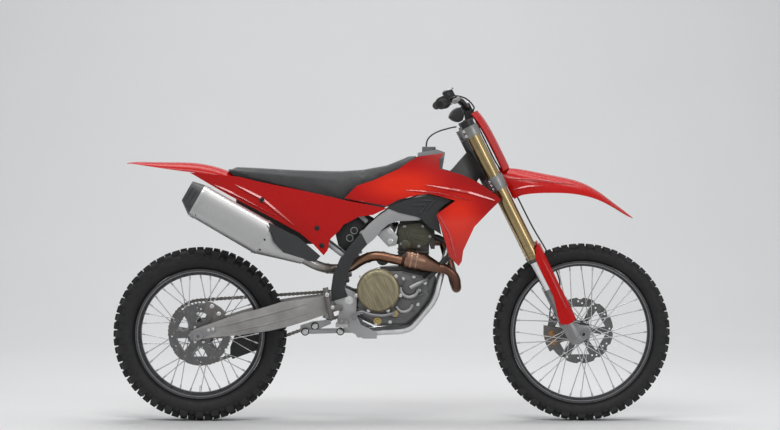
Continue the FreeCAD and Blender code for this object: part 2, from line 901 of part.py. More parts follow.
def frame_cradle(frame):
    """The down tube and the two rails that carry the engine from below."""
    foot_z = head_end(size.low_clamp_high)
    top_z = foot_z + size.head_tube_radius * 1.05
    split_x = size.spar_neck + size.down_tube_radius * 0.9
    split_z = foot_z * 0.7774
    rail_y = size.spar_outer - size.spar_wall - size.cradle_tube_radius - size.seat_gap
    down = bar_between((steering_place(top_z) - size.head_tube_radius * 0.9, 0, top_z),
                       (split_x, 0, split_z), size.down_tube_radius)
    rail = tube([
        (split_x - size.down_tube_radius * 0.1, size.down_tube_radius * 0.4,
         split_z + size.down_tube_radius),
        (split_x - size.down_tube_radius * 1.2, size.down_tube_radius * 2.6, split_z * 0.905),
        (split_x - size.down_tube_radius * 2.9, rail_y * 0.86, split_z * 0.76),
        (split_x - size.down_tube_radius * 4.0, rail_y * 0.92, split_z * 0.645),
        (split_x - size.down_tube_radius * 9.2, rail_y * 0.98, split_z * 0.497),
        (split_x - size.down_tube_radius * 11.4, rail_y, split_z * 0.482),
        (size.foot_tube_place + size.cross_tube_radius * 5, rail_y, split_z * 0.478),
        (size.foot_tube_place + size.cross_tube_radius * 1.5, rail_y, size.foot_tube_height * 0.985),
    ], size.cradle_tube_radius)
    rails = [rail, rail.mirror(Vector(0, 0, 0), Vector(0, 1, 0))]
    solid = largest(merged([down] + rails).cut(frame))
    keep("frame_cradle", shaped("FrameCradle", solid))


PANEL_BOSS_SHARE = 0.46


def rail_point(share):
    """A point along the straight part of the left seat rail, from its front bend to its end."""
    radius = size.subframe_tube_radius
    slim_y = size.rear_fender_half_width - radius * 1.4
    bend = (size.shock_top_place - radius * 4, slim_y + radius * 0.8, size.seat_height * 0.8564)
    end = (radius * 6, slim_y, size.seat_height * 0.979)
    return tuple(a + (b - a) * share for a, b in zip(bend, end))


def subframe(fender):
    """The rear frame that carries the seat and the rear fender."""
    radius = size.subframe_tube_radius
    seat_y = size.spar_outer - size.spar_wall - radius - size.seat_gap
    slim_y = size.rear_fender_half_width - radius * 1.4
    rail_start = (size.shock_top_place + radius * 1.5, seat_y, size.shock_top_height * 1.061)
    rail_end = rail_point(1)
    rail = tube([rail_start, rail_point(0), rail_end], radius)
    strut_start = (size.shock_top_place - radius * 7, seat_y, size.shock_top_height * 0.8776)
    strut = bar_between(strut_start, rail_point(0.72), radius)
    parts = []
    for piece in (rail, strut):
        parts += both_sides(piece)
    for share in (0.57, 0.98):
        x, y, z = rail_point(share)
        parts.append(bar_between((x, -slim_y, z), (x, slim_y, z), radius))
    x, y, z = rail_point(0.98)
    tail_post = Part.makeCylinder(float(radius) * 1.2, float(radius) * 6, spot(x, 0, z))
    tail_post = largest(tail_post.cut(fender.translated(Vector(0, 0, -float(size.seat_gap)))))
    low_part = [solid for solid in tail_post.Solids]
    parts += low_part
    keep("subframe", shaped("Subframe", merged(parts)))


ARM_SHARES = [
    (0.97, 1.00), (0.79, 0.97), (0.65, 0.90), (0.52, 0.77), (0.36, 0.63), (0.23, 0.49), (0.11, 0.35),
    (0.04, 0.26), (0.00, 0.13), (0.04, 0.00), (0.17, 0.08), (0.36, 0.13), (0.57, 0.23), (0.72, 0.34),
    (0.86, 0.48), (1.00, 0.69),
]


def swingarm():
    """Two tapered arms, joined ahead of the tyre and at the pivot."""
    length = size.pivot_place * 0.935
    height = size.rear_wheel_radius * 0.482
    x = -size.rear_axle_radius * 3.3
    z = size.rear_wheel_radius - size.rear_axle_radius * 1.6
    outline = spread(ARM_SHARES, x, z, length, height)
    nose = size.pivot_radius * 1.35
    px, pz = size.pivot_place, size.pivot_height
    outline[0] = (px, pz + nose)
    outline[-1] = (px, pz - nose)
    ends = [(px + nose * 0.75, pz - nose * 0.65), (px + nose, pz), (px + nose * 0.75, pz + nose * 0.65)]
    outline = outline + ends
    wide = size.arm_rear_inner + size.arm_rear_wall
    side = side_prism(outline, -wide, wide)
    flare_front = px * 0.80
    flare_rear = px * 0.58
    front_outer = size.arm_front_inner + size.arm_front_wall
    plan = plan_prism([
        (x - size.overrun, size.arm_rear_inner), (x - size.overrun, wide),
        (flare_rear, wide - size.arm_rear_wall * 0.1),
        (flare_front, front_outer), (px + nose * 2, front_outer), (px + nose * 2, size.arm_front_inner),
        (flare_front, size.arm_front_inner), (flare_rear, size.arm_rear_inner),
    ], z - size.overrun, pz + size.overrun * 2)
    arm = side.common(plan)
    bridge_rear = size.rear_wheel_radius + size.rear_tyre_half_width * 0.2
    bridge_front = bridge_rear + size.arm_rear_inner
    bridge_low = size.rear_wheel_radius * 1.155
    bridge_high = size.rear_wheel_radius * 1.38
    bridge = side_prism([
        (bridge_rear, bridge_low), (bridge_front, bridge_low + size.arm_front_wall),
        (bridge_front, bridge_high), (bridge_rear + size.arm_front_wall, bridge_high - size.arm_front_wall),
    ], -size.arm_front_inner - size.arm_front_wall * 0.3, size.arm_front_inner + size.arm_front_wall * 0.3)
    barrel = bar_between((px, -size.arm_front_inner, pz), (px, size.arm_front_inner, pz), size.pivot_radius)
    solid = merged(both_sides(arm) + [bridge, barrel])
    axle = bar_between((0, -wide - size.overrun, size.rear_wheel_radius),
                       (0, wide + size.overrun, size.rear_wheel_radius),
                       size.rear_axle_radius + size.running_gap)
    pivot = bar_between((px, -wide, pz), (px, wide, pz), size.pivot_radius * 0.5)
    keep("swingarm", shaped("Swingarm", solid.cut(axle).cut(pivot)))


GUARD_SHARES = [
    (0.83, 1.00), (0.50, 0.80), (0.22, 0.58), (0.06, 0.39), (0.00, 0.18), (0.03, 0.00), (0.47, 0.07),
    (0.39, 0.18), (0.41, 0.32), (0.50, 0.46), (0.69, 0.65), (1.00, 0.83),
]


def frame_guards():
    """A plastic guard over the outside of each spar's lower bend."""
    body = new_body("FrameGuardBody")
    x = size.pivot_place - size.wheelbase * 0.047
    z = size.pivot_height - size.pivot_radius * 0.2
    outline = spread(GUARD_SHARES, x, z, size.wheelbase * 0.094, size.pivot_height * 0.559)
    low = size.spar_outer + size.seat_gap
    side_pad(body, "Shell", outline, low, low + size.plastic_wall)
    keep("frame_guards", together("FrameGuards", [body, mirrored("FrameGuardMirror", body)]))


def shock_absorber():
    """The shock absorber with its spring, between the rocker and the frame."""
    foot = (size.pivot_place - size.pivot_radius * 4.7, size.pivot_height - size.pivot_radius * 3.9)
    top = (size.shock_top_place, size.shock_top_height)
    aim = spot(top[0], 0, top[1]) - spot(foot[0], 0, foot[1])
    reach = aim.Length - float(size.cross_tube_radius + size.seat_gap)
    wide = float(size.pivot_radius) * 1.35
    core = float(size.pivot_radius) * 0.8
    coils = 8
    low, high = 0.30 * reach, 0.86 * reach
    step = (high - low) / coils
    profile = [(0, 0), (core * 0.8, 0), (core * 0.8, low * 0.9), (wide, low * 0.9), (wide, low)]
    for coil in range(coils):
        start = low + coil * step
        profile += [(core * 1.15, start + step * 0.2), (wide, start + step * 0.45),
                    (wide, start + step * 0.75)]
    neck = reach * 0.95
    profile += [(core * 1.15, high), (core * 1.3, high), (core * 1.3, neck), (core * 0.7, neck)]
    profile += [(core * 0.7, reach), (0, reach)]
    base = spot(foot[0], 0, foot[1])
    turn = aim.normalize()
    across = turn.cross(Vector(0, 1, 0))
    wire = Part.makePolygon([base + across * r + turn * h for r, h in profile + profile[:1]])
    spring = Part.Face(wire).revolve(base, turn, 360)
    return shaped("ShockAbsorber", spring)


def shock_linkage():
    """The rocker under the swingarm, with a pull rod on each side."""
    px, pz = size.pivot_place, size.pivot_height
    unit = size.pivot_radius
    rocker = side_prism([
        (px - unit * 9.6, pz - unit * 6.6), (px - unit * 8.8, pz - unit * 7.1),
        (px - unit * 3.6, pz - unit * 4.9),
        (px - unit * 3.8, pz - unit * 4.14), (px - unit * 7.2, pz - unit * 4.54),
        (px - unit * 9.6, pz - unit * 5.3),
    ], -unit * 0.9, unit * 0.9)
    gap = size.seat_gap
    rod_left = side_prism([
        (px - unit * 9.5, pz - unit * 6.5), (px - unit * 9.2, pz - unit * 6.9),
        (px + unit * 1.285, pz - unit * 6.6),
        (px + unit * 1.285, pz - unit * 5.9), (px - unit * 9.2, pz - unit * 6.0),
    ], unit * 0.9 + gap, unit * 1.3)
    return shaped("ShockLinkage", Part.Compound([rocker] + both_sides(rod_left)))


def rear_suspension():
    """The shock absorber with its spring, and the rocker and rods below it."""
    keep("rear_suspension", together("RearSuspension", [shock_absorber(), shock_linkage()]))


# Engine

def pivot_shares(shares):
    """Points given as shares of the engine's length and height, in the bike's frame."""
    x = size.pivot_place + size.pivot_radius * 1.5
    return spread(shares, x, size.foot_tube_height + size.cross_tube_radius * 2, ENGINE_LENGTH,
                  ENGINE_HEIGHT)


ENGINE_LENGTH = size.wheelbase * 0.2075
ENGINE_HEIGHT = size.wheelbase * 0.155

CASE_SHARES = [
    (0.00, 0.30), (0.00, 0.68), (0.10, 0.87), (0.28, 0.98), (0.47, 1.00), (0.94, 1.00), (1.00, 0.80),
    (0.97, 0.46), (0.85, 0.16), (0.67, 0.03), (0.25, 0.00), (0.08, 0.10),
]
RIGHT_COVER_SHARES = [
    (0.01, 0.36), (0.09, 0.75), (0.28, 0.94), (0.57, 0.94), (0.86, 0.81), (0.90, 0.55), (0.76, 0.24),
    (0.60, 0.075), (0.25, 0.07), (0.09, 0.19),
]
LEFT_COVER_SHARES = [
    (0.32, 0.20), (0.32, 0.70), (0.50, 0.88), (0.84, 0.80), (0.87, 0.50), (0.74, 0.20), (0.60, 0.10),
    (0.40, 0.10),
]


def drive_sprocket(x, z, low):
    """The small sprocket on the engine's output shaft, with its teeth."""
    body = new_body("DriveSprocketBody")
    high = low + size.sprocket_thickness
    tip = tooth_tip(size.front_sprocket_teeth)
    foot = tip - size.chain_roller_radius * 1.2
    side_disc(body, "Plate", 0, 0, foot, low, high)
    half = size.chain_roller_radius * 0.75
    tooth = side_pad(body, "Tooth", [
        (-half, foot * 0.9), (half, foot * 0.9), (half, foot + half * 0.2), (half * 0.35, tip),
        (-half * 0.35, tip), (-half, foot + half * 0.2),
    ], low, high)
    ring_of(body, "Teeth", tooth, size.front_sprocket_teeth)
    side_disc(body, "Shaft", 0, 0, size.rear_axle_radius, size.case_half_width - size.running_gap, high)
    move_to(body, x, 0, z)
    return body


def engine_cases():
    """The crankcase halves with side covers, water pump and mounts, and the drive sprocket."""
    body = new_body("EngineCaseBody")
    half = size.case_half_width
    right = size.right_cover_outer
    side_pad(body, "Crankcase", pivot_shares(CASE_SHARES), -half, half)
    side_pad(body, "RightCover", pivot_shares(RIGHT_COVER_SHARES), -right, -half)
    side_pad(body, "LeftCover", pivot_shares(LEFT_COVER_SHARES), half, size.left_cover_outer)
    wide = size.clutch_cover_radius
    x, z = size.clutch_place, size.clutch_height
    side_disc(body, "ClutchRing", x, z, wide * 0.97, -right - size.running_gap, -half)
    pump_x, pump_z = x + wide * 1.43, z + wide * 0.11
    side_disc(body, "PumpBody", pump_x, pump_z, wide * 0.31, -right - wide * 0.20, -half)
    side_disc(body, "PumpCap", pump_x, pump_z, wide * 0.22, -right - wide * 0.28, -half)
    side_disc(body, "ShaftBoss", x + wide * 1.18, z - wide * 0.62, wide * 0.30, -right - wide * 0.08, -half)
    side_disc(body, "FilterCap", x + wide * 0.76, z - wide * 1.07, wide * 0.18, -right - wide * 0.12, -half)
    side_disc(body, "DrainCap", x - wide * 0.05, z - wide * 1.42, wide * 0.20, -right - wide * 0.08, -half)
    rib = size.clutch_bolt_radius * 0.7
    side_pad(body, "LowRib", [
        (x - wide * 0.95, z - wide * 0.84), (x - wide * 0.2, z - wide * 1.12),
        (x + wide * 0.42, z - wide * 1.10),
        (x + wide * 0.42, z - wide * 1.10 - rib), (x - wide * 0.22, z - wide * 1.12 - rib),
        (x - wide * 0.97, z - wide * 0.84 - rib),
    ], -right - rib * 0.6, -half)
    mount_x = size.pivot_place + size.pivot_radius * 2.15
    mount_z = size.pivot_height - size.pivot_radius * 3.85
    reach = size.spar_outer - size.spar_wall - size.seat_gap
    side_disc(body, "RearMount", mount_x, mount_z, size.pivot_radius * 0.5, -reach, reach)
    x, z = size.front_sprocket_place, size.front_sprocket_height
    low = size.sprocket_line - size.sprocket_thickness / 2
    outlet = tube([
        (pump_x, -right - wide * 0.13, pump_z),
        (pump_x + wide * 0.50, -right - wide * 0.13, pump_z + wide * 0.28),
        (pump_x + wide * 0.85, -right + wide * 0.20, pump_z + wide * 0.36),
        (pump_x + wide * 0.80, -half + wide * 0.1, pump_z + wide * 0.30),
    ], size.clutch_bolt_radius * 1.15)
    inlet = tube([
        (pump_x - wide * 0.10, -right - wide * 0.06, pump_z - wide * 0.20),
        (pump_x + wide * 0.25, -right - wide * 0.06, pump_z - wide * 0.42),
        (pump_x + wide * 0.60, -right - wide * 0.02, pump_z - wide * 0.30),
        (pump_x + wide * 0.86, -right + wide * 0.30, pump_z - wide * 0.22),
        (pump_x + wide * 0.80, -half + wide * 0.1, pump_z - wide * 0.20),
    ], size.clutch_bolt_radius * 0.9)
    pieces = [body, drive_sprocket(x, z, low), shaped("PumpOutlet", outlet), shaped("PumpInlet", inlet)]
    keep("engine_cases", fused("EngineCases", pieces))


def engine_covers():
    """The round clutch cover on the right and the ignition cover on the left."""
    clutch = new_body("ClutchCoverBody")
    start = size.right_cover_outer + size.running_gap + size.seat_gap
    deep = start + size.clutch_cover_depth
    radius = size.clutch_cover_radius
    turned(clutch, "Dome", [
        (-start, 0), (-start, radius), (size.clutch_cover_depth * 0.35 - deep, radius),
        (size.clutch_cover_depth * 0.08 - deep, radius * 0.92), (-deep, radius * 0.84), (-deep, 0),
    ])
    boss = side_disc(clutch, "Boss", 0, radius, size.clutch_bolt_radius,
                     size.clutch_cover_depth * 0.4 - deep,
                     -start)
    ring_of(clutch, "Bosses", boss, size.clutch_bolt_count)
    move_to(clutch, size.clutch_place, 0, size.clutch_height)
    ignition = new_body("IgnitionCoverBody")
    start = size.left_cover_outer + size.seat_gap
    deep = start + size.ignition_cover_depth
    radius = size.ignition_cover_radius
    turned(ignition, "Dome", [
        (start, 0), (start, radius), (deep - size.ignition_cover_depth * 0.4, radius), (deep, radius * 0.8),
        (deep, 0),
    ])
    move_to(ignition, size.ignition_place, 0, size.ignition_height)
    guard = new_body("SprocketCoverBody")
    x, z = size.front_sprocket_place, size.front_sprocket_height
    reach = pitch_radius(size.front_sprocket_teeth)
    edge = size.pivot_place + size.pivot_radius * 1.5 + ENGINE_LENGTH * 0.32 - size.seat_gap
    near = size.sprocket_line + size.chain_width / 2 + size.disc_slot_clearance * 0.6
    side_pad(guard, "Cover", [
        (x - reach * 0.55, z - reach * 1.2), (edge, z - reach * 1.2), (edge, z + reach * 1.25),
        (x - reach * 0.1, z + reach * 1.25), (x - reach * 0.75, z + reach * 0.7),
        (x - reach * 0.75, z - reach * 0.6),
    ], near, near + size.plastic_wall * 2)
    keep("engine_covers", together("EngineCovers", [clutch, ignition, guard]))


BARREL_SHARES = [(0.52, 1.00), (0.90, 1.00), (0.91, 1.38), (0.52, 1.38)]
HEAD_SHARES = [
    (0.47, 1.38), (0.91, 1.38), (0.93, 1.30), (0.98, 1.30), (0.98, 1.56), (0.97, 1.70), (0.52, 1.70),
]
COVER_SHARES = [(0.53, 1.70), (0.95, 1.70), (0.93, 1.79), (0.88, 1.83), (0.62, 1.83), (0.55, 1.78)]


def engine_cylinder():
    """The cylinder with its ribs, the head and its cover, standing on the crankcase."""
    body = new_body("CylinderBody")
    gap = size.seat_gap
    barrel = [(x, z + gap) for x, z in pivot_shares(BARREL_SHARES)]
    side_pad(body, "Barrel", barrel, -size.cylinder_half_width, size.cylinder_half_width)
    wall = size.plastic_wall
    low, high = barrel[0][1], barrel[2][1]
    rib = size.cylinder_half_width + wall * 1.5
    for place in (0.45, 0.60, 0.75):
        z = low + (high - low) * place
        corners = [(barrel[0][0] - wall, z), (barrel[1][0] + wall, z), (barrel[1][0] + wall, z + wall),
                   (barrel[0][0] - wall, z + wall)]
        side_pad(body, f"Rib{round(place * 100)}", corners, -rib, rib)
    head = [(x, z + gap) for x, z in pivot_shares(HEAD_SHARES)]
    side_pad(body, "Head", head, -size.head_half_width, size.head_half_width)
    cover = [(x, z + gap) for x, z in pivot_shares(COVER_SHARES)]
    wide = size.head_half_width * 0.88
    side_pad(body, "Cover", cover, -wide, wide)
    plug_x = (cover[0][0] + cover[1][0]) / 2
    side_disc(body, "CamBoss", plug_x, head[4][1] - wide * 0.16, wide * 0.24,
              -size.head_half_width - wall * 2,
              size.head_half_width + wall * 2)
    keep("engine_cylinder", body)


def intake_duct():
    """The throttle body and the rubber duct from the airbox to the back of the head."""
    radius = size.pivot_radius * 1.15
    head_x = size.pivot_place + size.pivot_radius * 1.5 + ENGINE_LENGTH * 0.47
    level = size.foot_tube_height + size.cross_tube_radius * 2 + ENGINE_HEIGHT * 1.563
    box_x = size.rear_wheel_radius * 1.695
    box_level = size.seat_height * 0.8194
    throttle = bar_between((head_x - size.seat_gap * 3, 0, level - radius * 0.15),
                           (head_x - radius * 2.4, 0, level + radius * 0.75), radius * 1.12)
    duct = tube([
        (head_x - radius * 1.5, 0, level + radius * 0.41), (head_x - radius * 2.9, 0, level + radius * 0.94),
        (head_x - radius * 5.0, 0, box_level - radius * 0.3),
        (box_x + size.seat_gap * 2, 0, box_level),
    ], radius)
    wheel = bar_between((head_x - radius * 1.3, -radius * 1.9, level + radius * 0.3),
                        (head_x - radius * 1.3, radius * 1.9, level + radius * 0.3), radius * 0.75)
    solid = merged([throttle, duct, wheel])
    back = [(head_x - size.seat_gap, level - radius * 3), (head_x + radius * 3, level - radius * 3),
            (head_x + radius * 3, level + radius * 3), (head_x - size.seat_gap, level + radius * 3)]
    box = airbox_outline()
    clear = [(x + size.seat_gap, z) for x, z in box]
    solid = solid.cut(side_prism(back, -radius * 3, radius * 3))
    solid = solid.cut(side_prism(clear, -radius * 3, radius * 3))
    keep("intake_duct", shaped("IntakeDuct", largest(solid)))


# Exhaust

def silencer_front():
    """The middle of the silencer's front face."""
    return spot(size.wheelbase * 0.172, -size.can_half_width * 3.08, size.seat_height * 0.742)


def header_pipe():
    """The exhaust pipe: out of the head, round its loop and back along the right side."""
    radius = size.pipe_radius
    front = size.pivot_place + size.pivot_radius * 1.5 + ENGINE_LENGTH * 0.98
    top = size.pivot_height
    line = size.head_half_width + radius * 1.85
    points = [
        (front + size.seat_gap, 0, top + radius * 11.9),
        (front + radius * 1.8, 0, top + radius * 11.9),
        (front + radius * 3.6, 0, top + radius * 5.2),
        (front + radius * 4.3, -radius * 1.1, top + radius * 2.6),
        (front + radius * 4.5, -radius * 3.2, top + radius * 2.2),
        (front + radius * 4.2, -radius * 5.0, top + radius * 4.6),
        (front + radius * 2.6, -line, top + radius * 6.4),
        (front - radius * 1.4, -line, top + radius * 6.9),
        (front - radius * 7.9, -line, top + radius * 8.3),
        (front - radius * 12.2, -line * 0.95, top + radius * 9.2),
        (front - radius * 15.0, -line * 0.72, top + radius * 8.2),
        (front - radius * 17.4, -line * 0.65, top + radius * 6.5),
        (front - radius * 21.2, -line * 0.67, top + radius * 6.2),
        (front - radius * 24.0, -line * 1.10, top + radius * 7.0),
    ]
    last = spot(*points[-1])
    points.append(tuple(last + (silencer_front() - last) * PIPE_END_SHARE))
    pipe = tube(points, radius)
    bend, start, end = spot(*points[6]), spot(*points[7]), spot(*points[8])
    lift = Vector(0, -float(radius) * 0.65, float(radius) * 0.65)
    slim = float(radius) * 1.02
    wide = float(size.chamber_radius)
    rings = [
        (bend + (start - bend) * 0.42, start - bend, slim),
        (start + (end - start) * 0.14 + lift, end - start, wide),
        (start + (end - start) * 0.70 + lift, end - start, wide),
        (start + (end - start) * 0.84, end - start, slim),
    ]
    chamber = Part.makeLoft([Part.Wire([Part.makeCircle(reach, place, aim)]) for place, aim, reach in rings],
                            True, True)
    keep("header_pipe", shaped("HeaderPipe", merged([pipe, chamber])))
    return spot(*points[-1])


PIPE_END_SHARE = 0.27


def oval(centre, across, up, half_width, half_height):
    """A rounded outline of eight points round a centre, as one smooth closed edge."""
    points = []
    for number in range(8):
        angle = math.pi * number / 4
        stretch = 1 if number % 2 == 0 else OVAL_CORNER_SHARE
        points.append(centre + across * (half_width * stretch * math.cos(angle))
                      + up * (half_height * stretch * math.sin(angle)))
    curve = Part.BSplineCurve()
    curve.interpolate(points, PeriodicFlag=True)
    return Part.Wire([curve.toShape()])


OVAL_CORNER_SHARE = 1.13


def silencer(pipe_end):
    """The silencer's can with its inlet cone, and the end cap."""
    half_width = float(size.can_half_width)
    half_height = float(size.can_half_height)
    front = silencer_front()
    rear = spot(-size.can_half_width * 0.04, -size.can_half_width * 3.2, size.seat_height * 0.895)
    aim = (rear - front).normalize()
    up = Vector(0, 1, 0).cross(aim) * -1
    if up.z < 0:
        up = up * -1
    up.normalize()
    across = aim.cross(up).normalize()
    lead = (front - pipe_end).normalize()
    inlet = Part.Wire([Part.makeCircle(float(size.pipe_radius) * 1.2,
                                       pipe_end + lead * float(size.seat_gap), lead)])
    ring_front = oval(front, across, up, half_width, half_height)
    ring_rear = oval(rear, across, up, half_width * 0.98, half_height * 0.96)
    cone = Part.makeLoft([inlet, oval(front, across, up, half_width * 0.97, half_height * 0.97)], True, True)
    can = Part.makeLoft([ring_front, ring_rear], True, True)
    whole = merged([can, cone])
    keep("silencer_can", shaped("SilencerCan", whole))
    gap = aim * float(size.seat_gap)
    cap_start = oval(rear + gap, across, up, half_width * 0.98, half_height * 0.96)
    end = rear + aim * (half_width * 0.95) + up * (half_height * 0.18)
    cap_end = oval(end, across, up, half_width * 0.66, half_height * 0.62)
    cap = Part.makeLoft([cap_start, cap_end], True, True)
    mouth = Part.makeCylinder(half_width * 0.4, half_width, end - aim * (half_width * 0.5), aim)
    keep("silencer_end_cap", shaped("SilencerEndCap", cap.cut(mouth)))
    return whole


SHIELD_SHARES = [(0.00, 1.00), (0.58, 0.62), (1.00, 0.15), (0.89, 0.00), (0.29, 0.25), (0.13, 0.48),
                 (0.09, 0.68)]


def panel(outline, rows, wall):
    """A moulded panel: a skin through rows of points, trimmed to its outline."""
    skin = sheet_through(rows, (0, wall, 0))
    return skin.common(side_prism(outline, -size.wheelbase, size.wheelbase))


def boss_to(rows, x, z, inner, radius):
    """A round boss from a panel's skin inward to what carries it."""
    skin_block = sheet_through(rows, (0, size.wheelbase * 0.2, 0))
    boss = bar_between((x, -size.wheelbase * 0.2, z), (x, -inner, z), radius)
    return boss.common(skin_block)


def station(x, z_top, z_low, y_top, y_mid, y_low):
    """One row of a panel's skin, from its lower edge to its top edge."""
    z_mid = (z_top + z_low) / 2
    return [(x, y_low, z_low), (x, y_mid, z_mid), (x, y_top, z_top)]


def silencer_shield(can):
    """The plastic shield outside the silencer's inlet cone."""
    x = size.wheelbase * 0.184
    z = size.seat_height * 0.648
    length = size.wheelbase * 0.1345
    height = size.seat_height * 0.161
    outline = spread(SHIELD_SHARES, x, z, length, height)
    rear = size.can_half_width * 4.16
    rows = []
    for place, inward in ((-0.1, 0), (0.25, 0.28), (0.65, 0.72), (1.1, 1.12)):
        y = -rear + size.can_half_width * inward
        rows.append(station(x + length * place, z + height * 1.1, z - height * 0.1, y,
                            y - size.plastic_wall, y))
    shell = panel(outline, rows, -size.plastic_wall)
    boss = boss_to(rows, x + length * 0.28, z + height * 0.50, size.can_half_width * 3.1,
                   size.plastic_wall * 3)
    gap = Vector(0, -float(size.seat_gap), 0)
    boss = boss.cut(can.translated(gap))
    boss = max(boss.Solids, key=lambda solid: -solid.BoundBox.YMin)
    keep("silencer_shield", shaped("SilencerShield", merged([shell, boss])))


# Bodywork

SIDE_PANEL_SHARES = [
    (0.00, 1.00), (0.05, 0.93), (0.15, 0.79), (0.25, 0.66), (0.35, 0.54), (0.43, 0.44), (0.56, 0.27),
    (0.63, 0.13), (0.68, 0.00), (0.70, 0.06), (0.71, 0.19), (0.76, 0.30), (0.78, 0.37), (0.86, 0.47),
    (0.93, 0.49), (1.00, 0.57), (0.78, 0.67), (0.73, 0.70), (0.56, 0.79), (0.35, 0.89), (0.25, 0.95),
]


def side_panels():
    """A number panel on each side, from the tail to the shroud."""
    length = size.wheelbase * 0.514
    height = size.seat_height * 0.331
    x = -size.wheelbase * 0.024
    z = size.seat_height * 0.672
    outline = spread(SIDE_PANEL_SHARES, x, z, length, height)
    tail = size.rear_fender_half_width + size.plastic_wall * 1.3
    wide = size.spar_outer + size.plastic_wall * 1.3
    top, low = z + height * 1.03, z - height * 0.03
    rows = [
        station(x - length * 0.02, top, low, -tail, -tail, -tail),
        station(x + length * 0.26, top, low, -tail - size.plastic_wall, -wide * 0.84, -wide * 0.86),
        station(x + length * 0.55, top, low, -wide * 0.93, -wide * 0.98, -wide * 0.99),
        station(x + length * 0.78, top, low, -wide, -wide * 1.03, -wide * 1.02),
        station(x + length * 1.02, top, low, -wide, -wide * 1.02, -wide),
    ]
    right = panel(outline, rows, -size.plastic_wall)
    rail_x, rail_y, rail_z = rail_point(PANEL_BOSS_SHARE)
    radius = size.subframe_tube_radius
    boss = boss_to(rows, rail_x, rail_z, rail_y + radius + size.seat_gap, radius * 0.7)
    right = merged([right, boss])
    left = right.mirror(Vector(0, 0, 0), Vector(0, 1, 0))
    keep("side_panel_right", shaped("SidePanelRight", right))
    keep("side_panel_left", shaped("SidePanelLeft", left))


SHROUD_SHARES = [
    (0.00, 0.60), (0.08, 0.71), (0.19, 0.76), (0.35, 0.86), (0.41, 0.92), (0.48, 0.97), (0.64, 1.00),
    (0.61, 0.94), (0.61, 0.86), (0.75, 0.81), (0.83, 0.76), (0.90, 0.70), (0.97, 0.63), (1.00, 0.59),
    (0.92, 0.48), (0.83, 0.35), (0.76, 0.14), (0.75, 0.04), (0.73, 0.00), (0.67, 0.09), (0.62, 0.34),
    (0.59, 0.45), (0.60, 0.47), (0.71, 0.58), (0.61, 0.62), (0.54, 0.64), (0.48, 0.63), (0.35, 0.59),
    (0.27, 0.53),
]


def tank_shrouds():
    """A shroud on each side, from the seat past the radiator to its tip beside the fork."""
    length = size.wheelbase * 0.4063
    height = size.seat_height * 0.4515
    x = size.wheelbase * 0.379
    z = size.seat_height * 0.63
    outline = spread(SHROUD_SHARES, x, z, length, height)
    wide = size.radiator_outer
    top, low = z + height * 1.03, z - height * 0.03
    rows = [
        station(x - length * 0.02, top, low, -wide * 0.78, -wide * 0.925, -wide * 0.93),
        station(x + length * 0.22, top, low, -wide * 0.66, -wide * 0.93, -wide * 0.95),
        station(x + length * 0.47, top, low, -wide * 0.58, -wide * 1.02, -wide * 1.04),
        station(x + length * 0.65, top, low, -wide * 0.62, -wide * 1.17, -wide * 1.05),
        station(x + length * 0.83, top, low, -wide * 0.95, -wide * 1.28, -wide * 1.08),
        station(x + length * 0.93, top, low, -wide * 1.14, -wide * 1.31, -wide * 1.12),
        station(x + length * 1.02, top, low, -wide * 1.20, -wide * 1.30, -wide * 1.15),
    ]
    right = panel(outline, rows, -size.plastic_wall)
    gap = size.seat_gap
    depth = size.radiator_depth
    on_radiator = boss_to(rows, size.spar_neck + depth, z + height * 0.43, size.radiator_outer + gap,
                          depth * 0.2)
    on_tank = boss_to(rows, x + length * 0.32, z + height * 0.625, size.tank_half_width + gap, depth * 0.2)
    right = merged([right, on_radiator, on_tank])
    left = right.mirror(Vector(0, 0, 0), Vector(0, 1, 0))
    keep("shroud_right", shaped("ShroudRight", right))
    keep("shroud_left", shaped("ShroudLeft", left))


INSERT_SHARES = [
    (0.00, 0.67), (0.17, 0.80), (0.39, 0.91), (0.60, 0.97), (0.82, 0.92), (0.92, 0.84), (0.82, 0.73),
    (0.74, 0.61), (0.73, 0.46), (0.78, 0.00), (0.60, 0.20), (0.47, 0.42), (0.17, 0.54), (0.03, 0.64),
]


def shroud_inserts():
    """The dark panel between each shroud and the spar behind it."""
    length = size.wheelbase * 0.1814
    height = size.seat_height * 0.162
    x = size.wheelbase * 0.49
    z = size.seat_height * 0.755
    outline = spread(INSERT_SHARES, x, z, length, height)
    near = size.spar_outer + size.plastic_wall * 1.2
    far = size.radiator_outer + size.plastic_wall * 1.3
    top, low = z + height * 1.05, z - height * 0.05
    rows = [
        station(x - length * 0.05, top, low, -near, -near, -near),
        station(x + length * 0.35, top, low, -near, -near * 1.01, -near * 1.01),
        station(x + length * 0.70, top, low, -near * 1.05, -near * 1.05, -near * 1.04),
        station(x + length * 1.05, top, low, -far, -far, -far),
    ]
    right = panel(outline, rows, size.plastic_wall)
    keep("shroud_inserts", shaped("ShroudInserts", Part.Compound(both_sides(right))))


SEAT_STATIONS = [
    # place share, top share, low share, half width share, crown share
    (0.00, 0.30, 0.24, 0.74, 0.60),
    (0.10, 0.28, 0.06, 0.86, 0.66),
    (0.36, 0.22, -0.22, 0.96, 0.72),
    (0.55, 0.20, -0.46, 0.96, 0.72),
    (0.60, 0.20, -0.51, 0.94, 0.70),
    (0.71, 0.23, -0.37, 0.84, 0.66),
    (0.84, 0.33, -0.13, 0.74, 0.62),
    (0.93, 0.48, 0.07, 0.68, 0.58),
    (1.00, 0.62, 0.20, 0.66, 0.56),
]


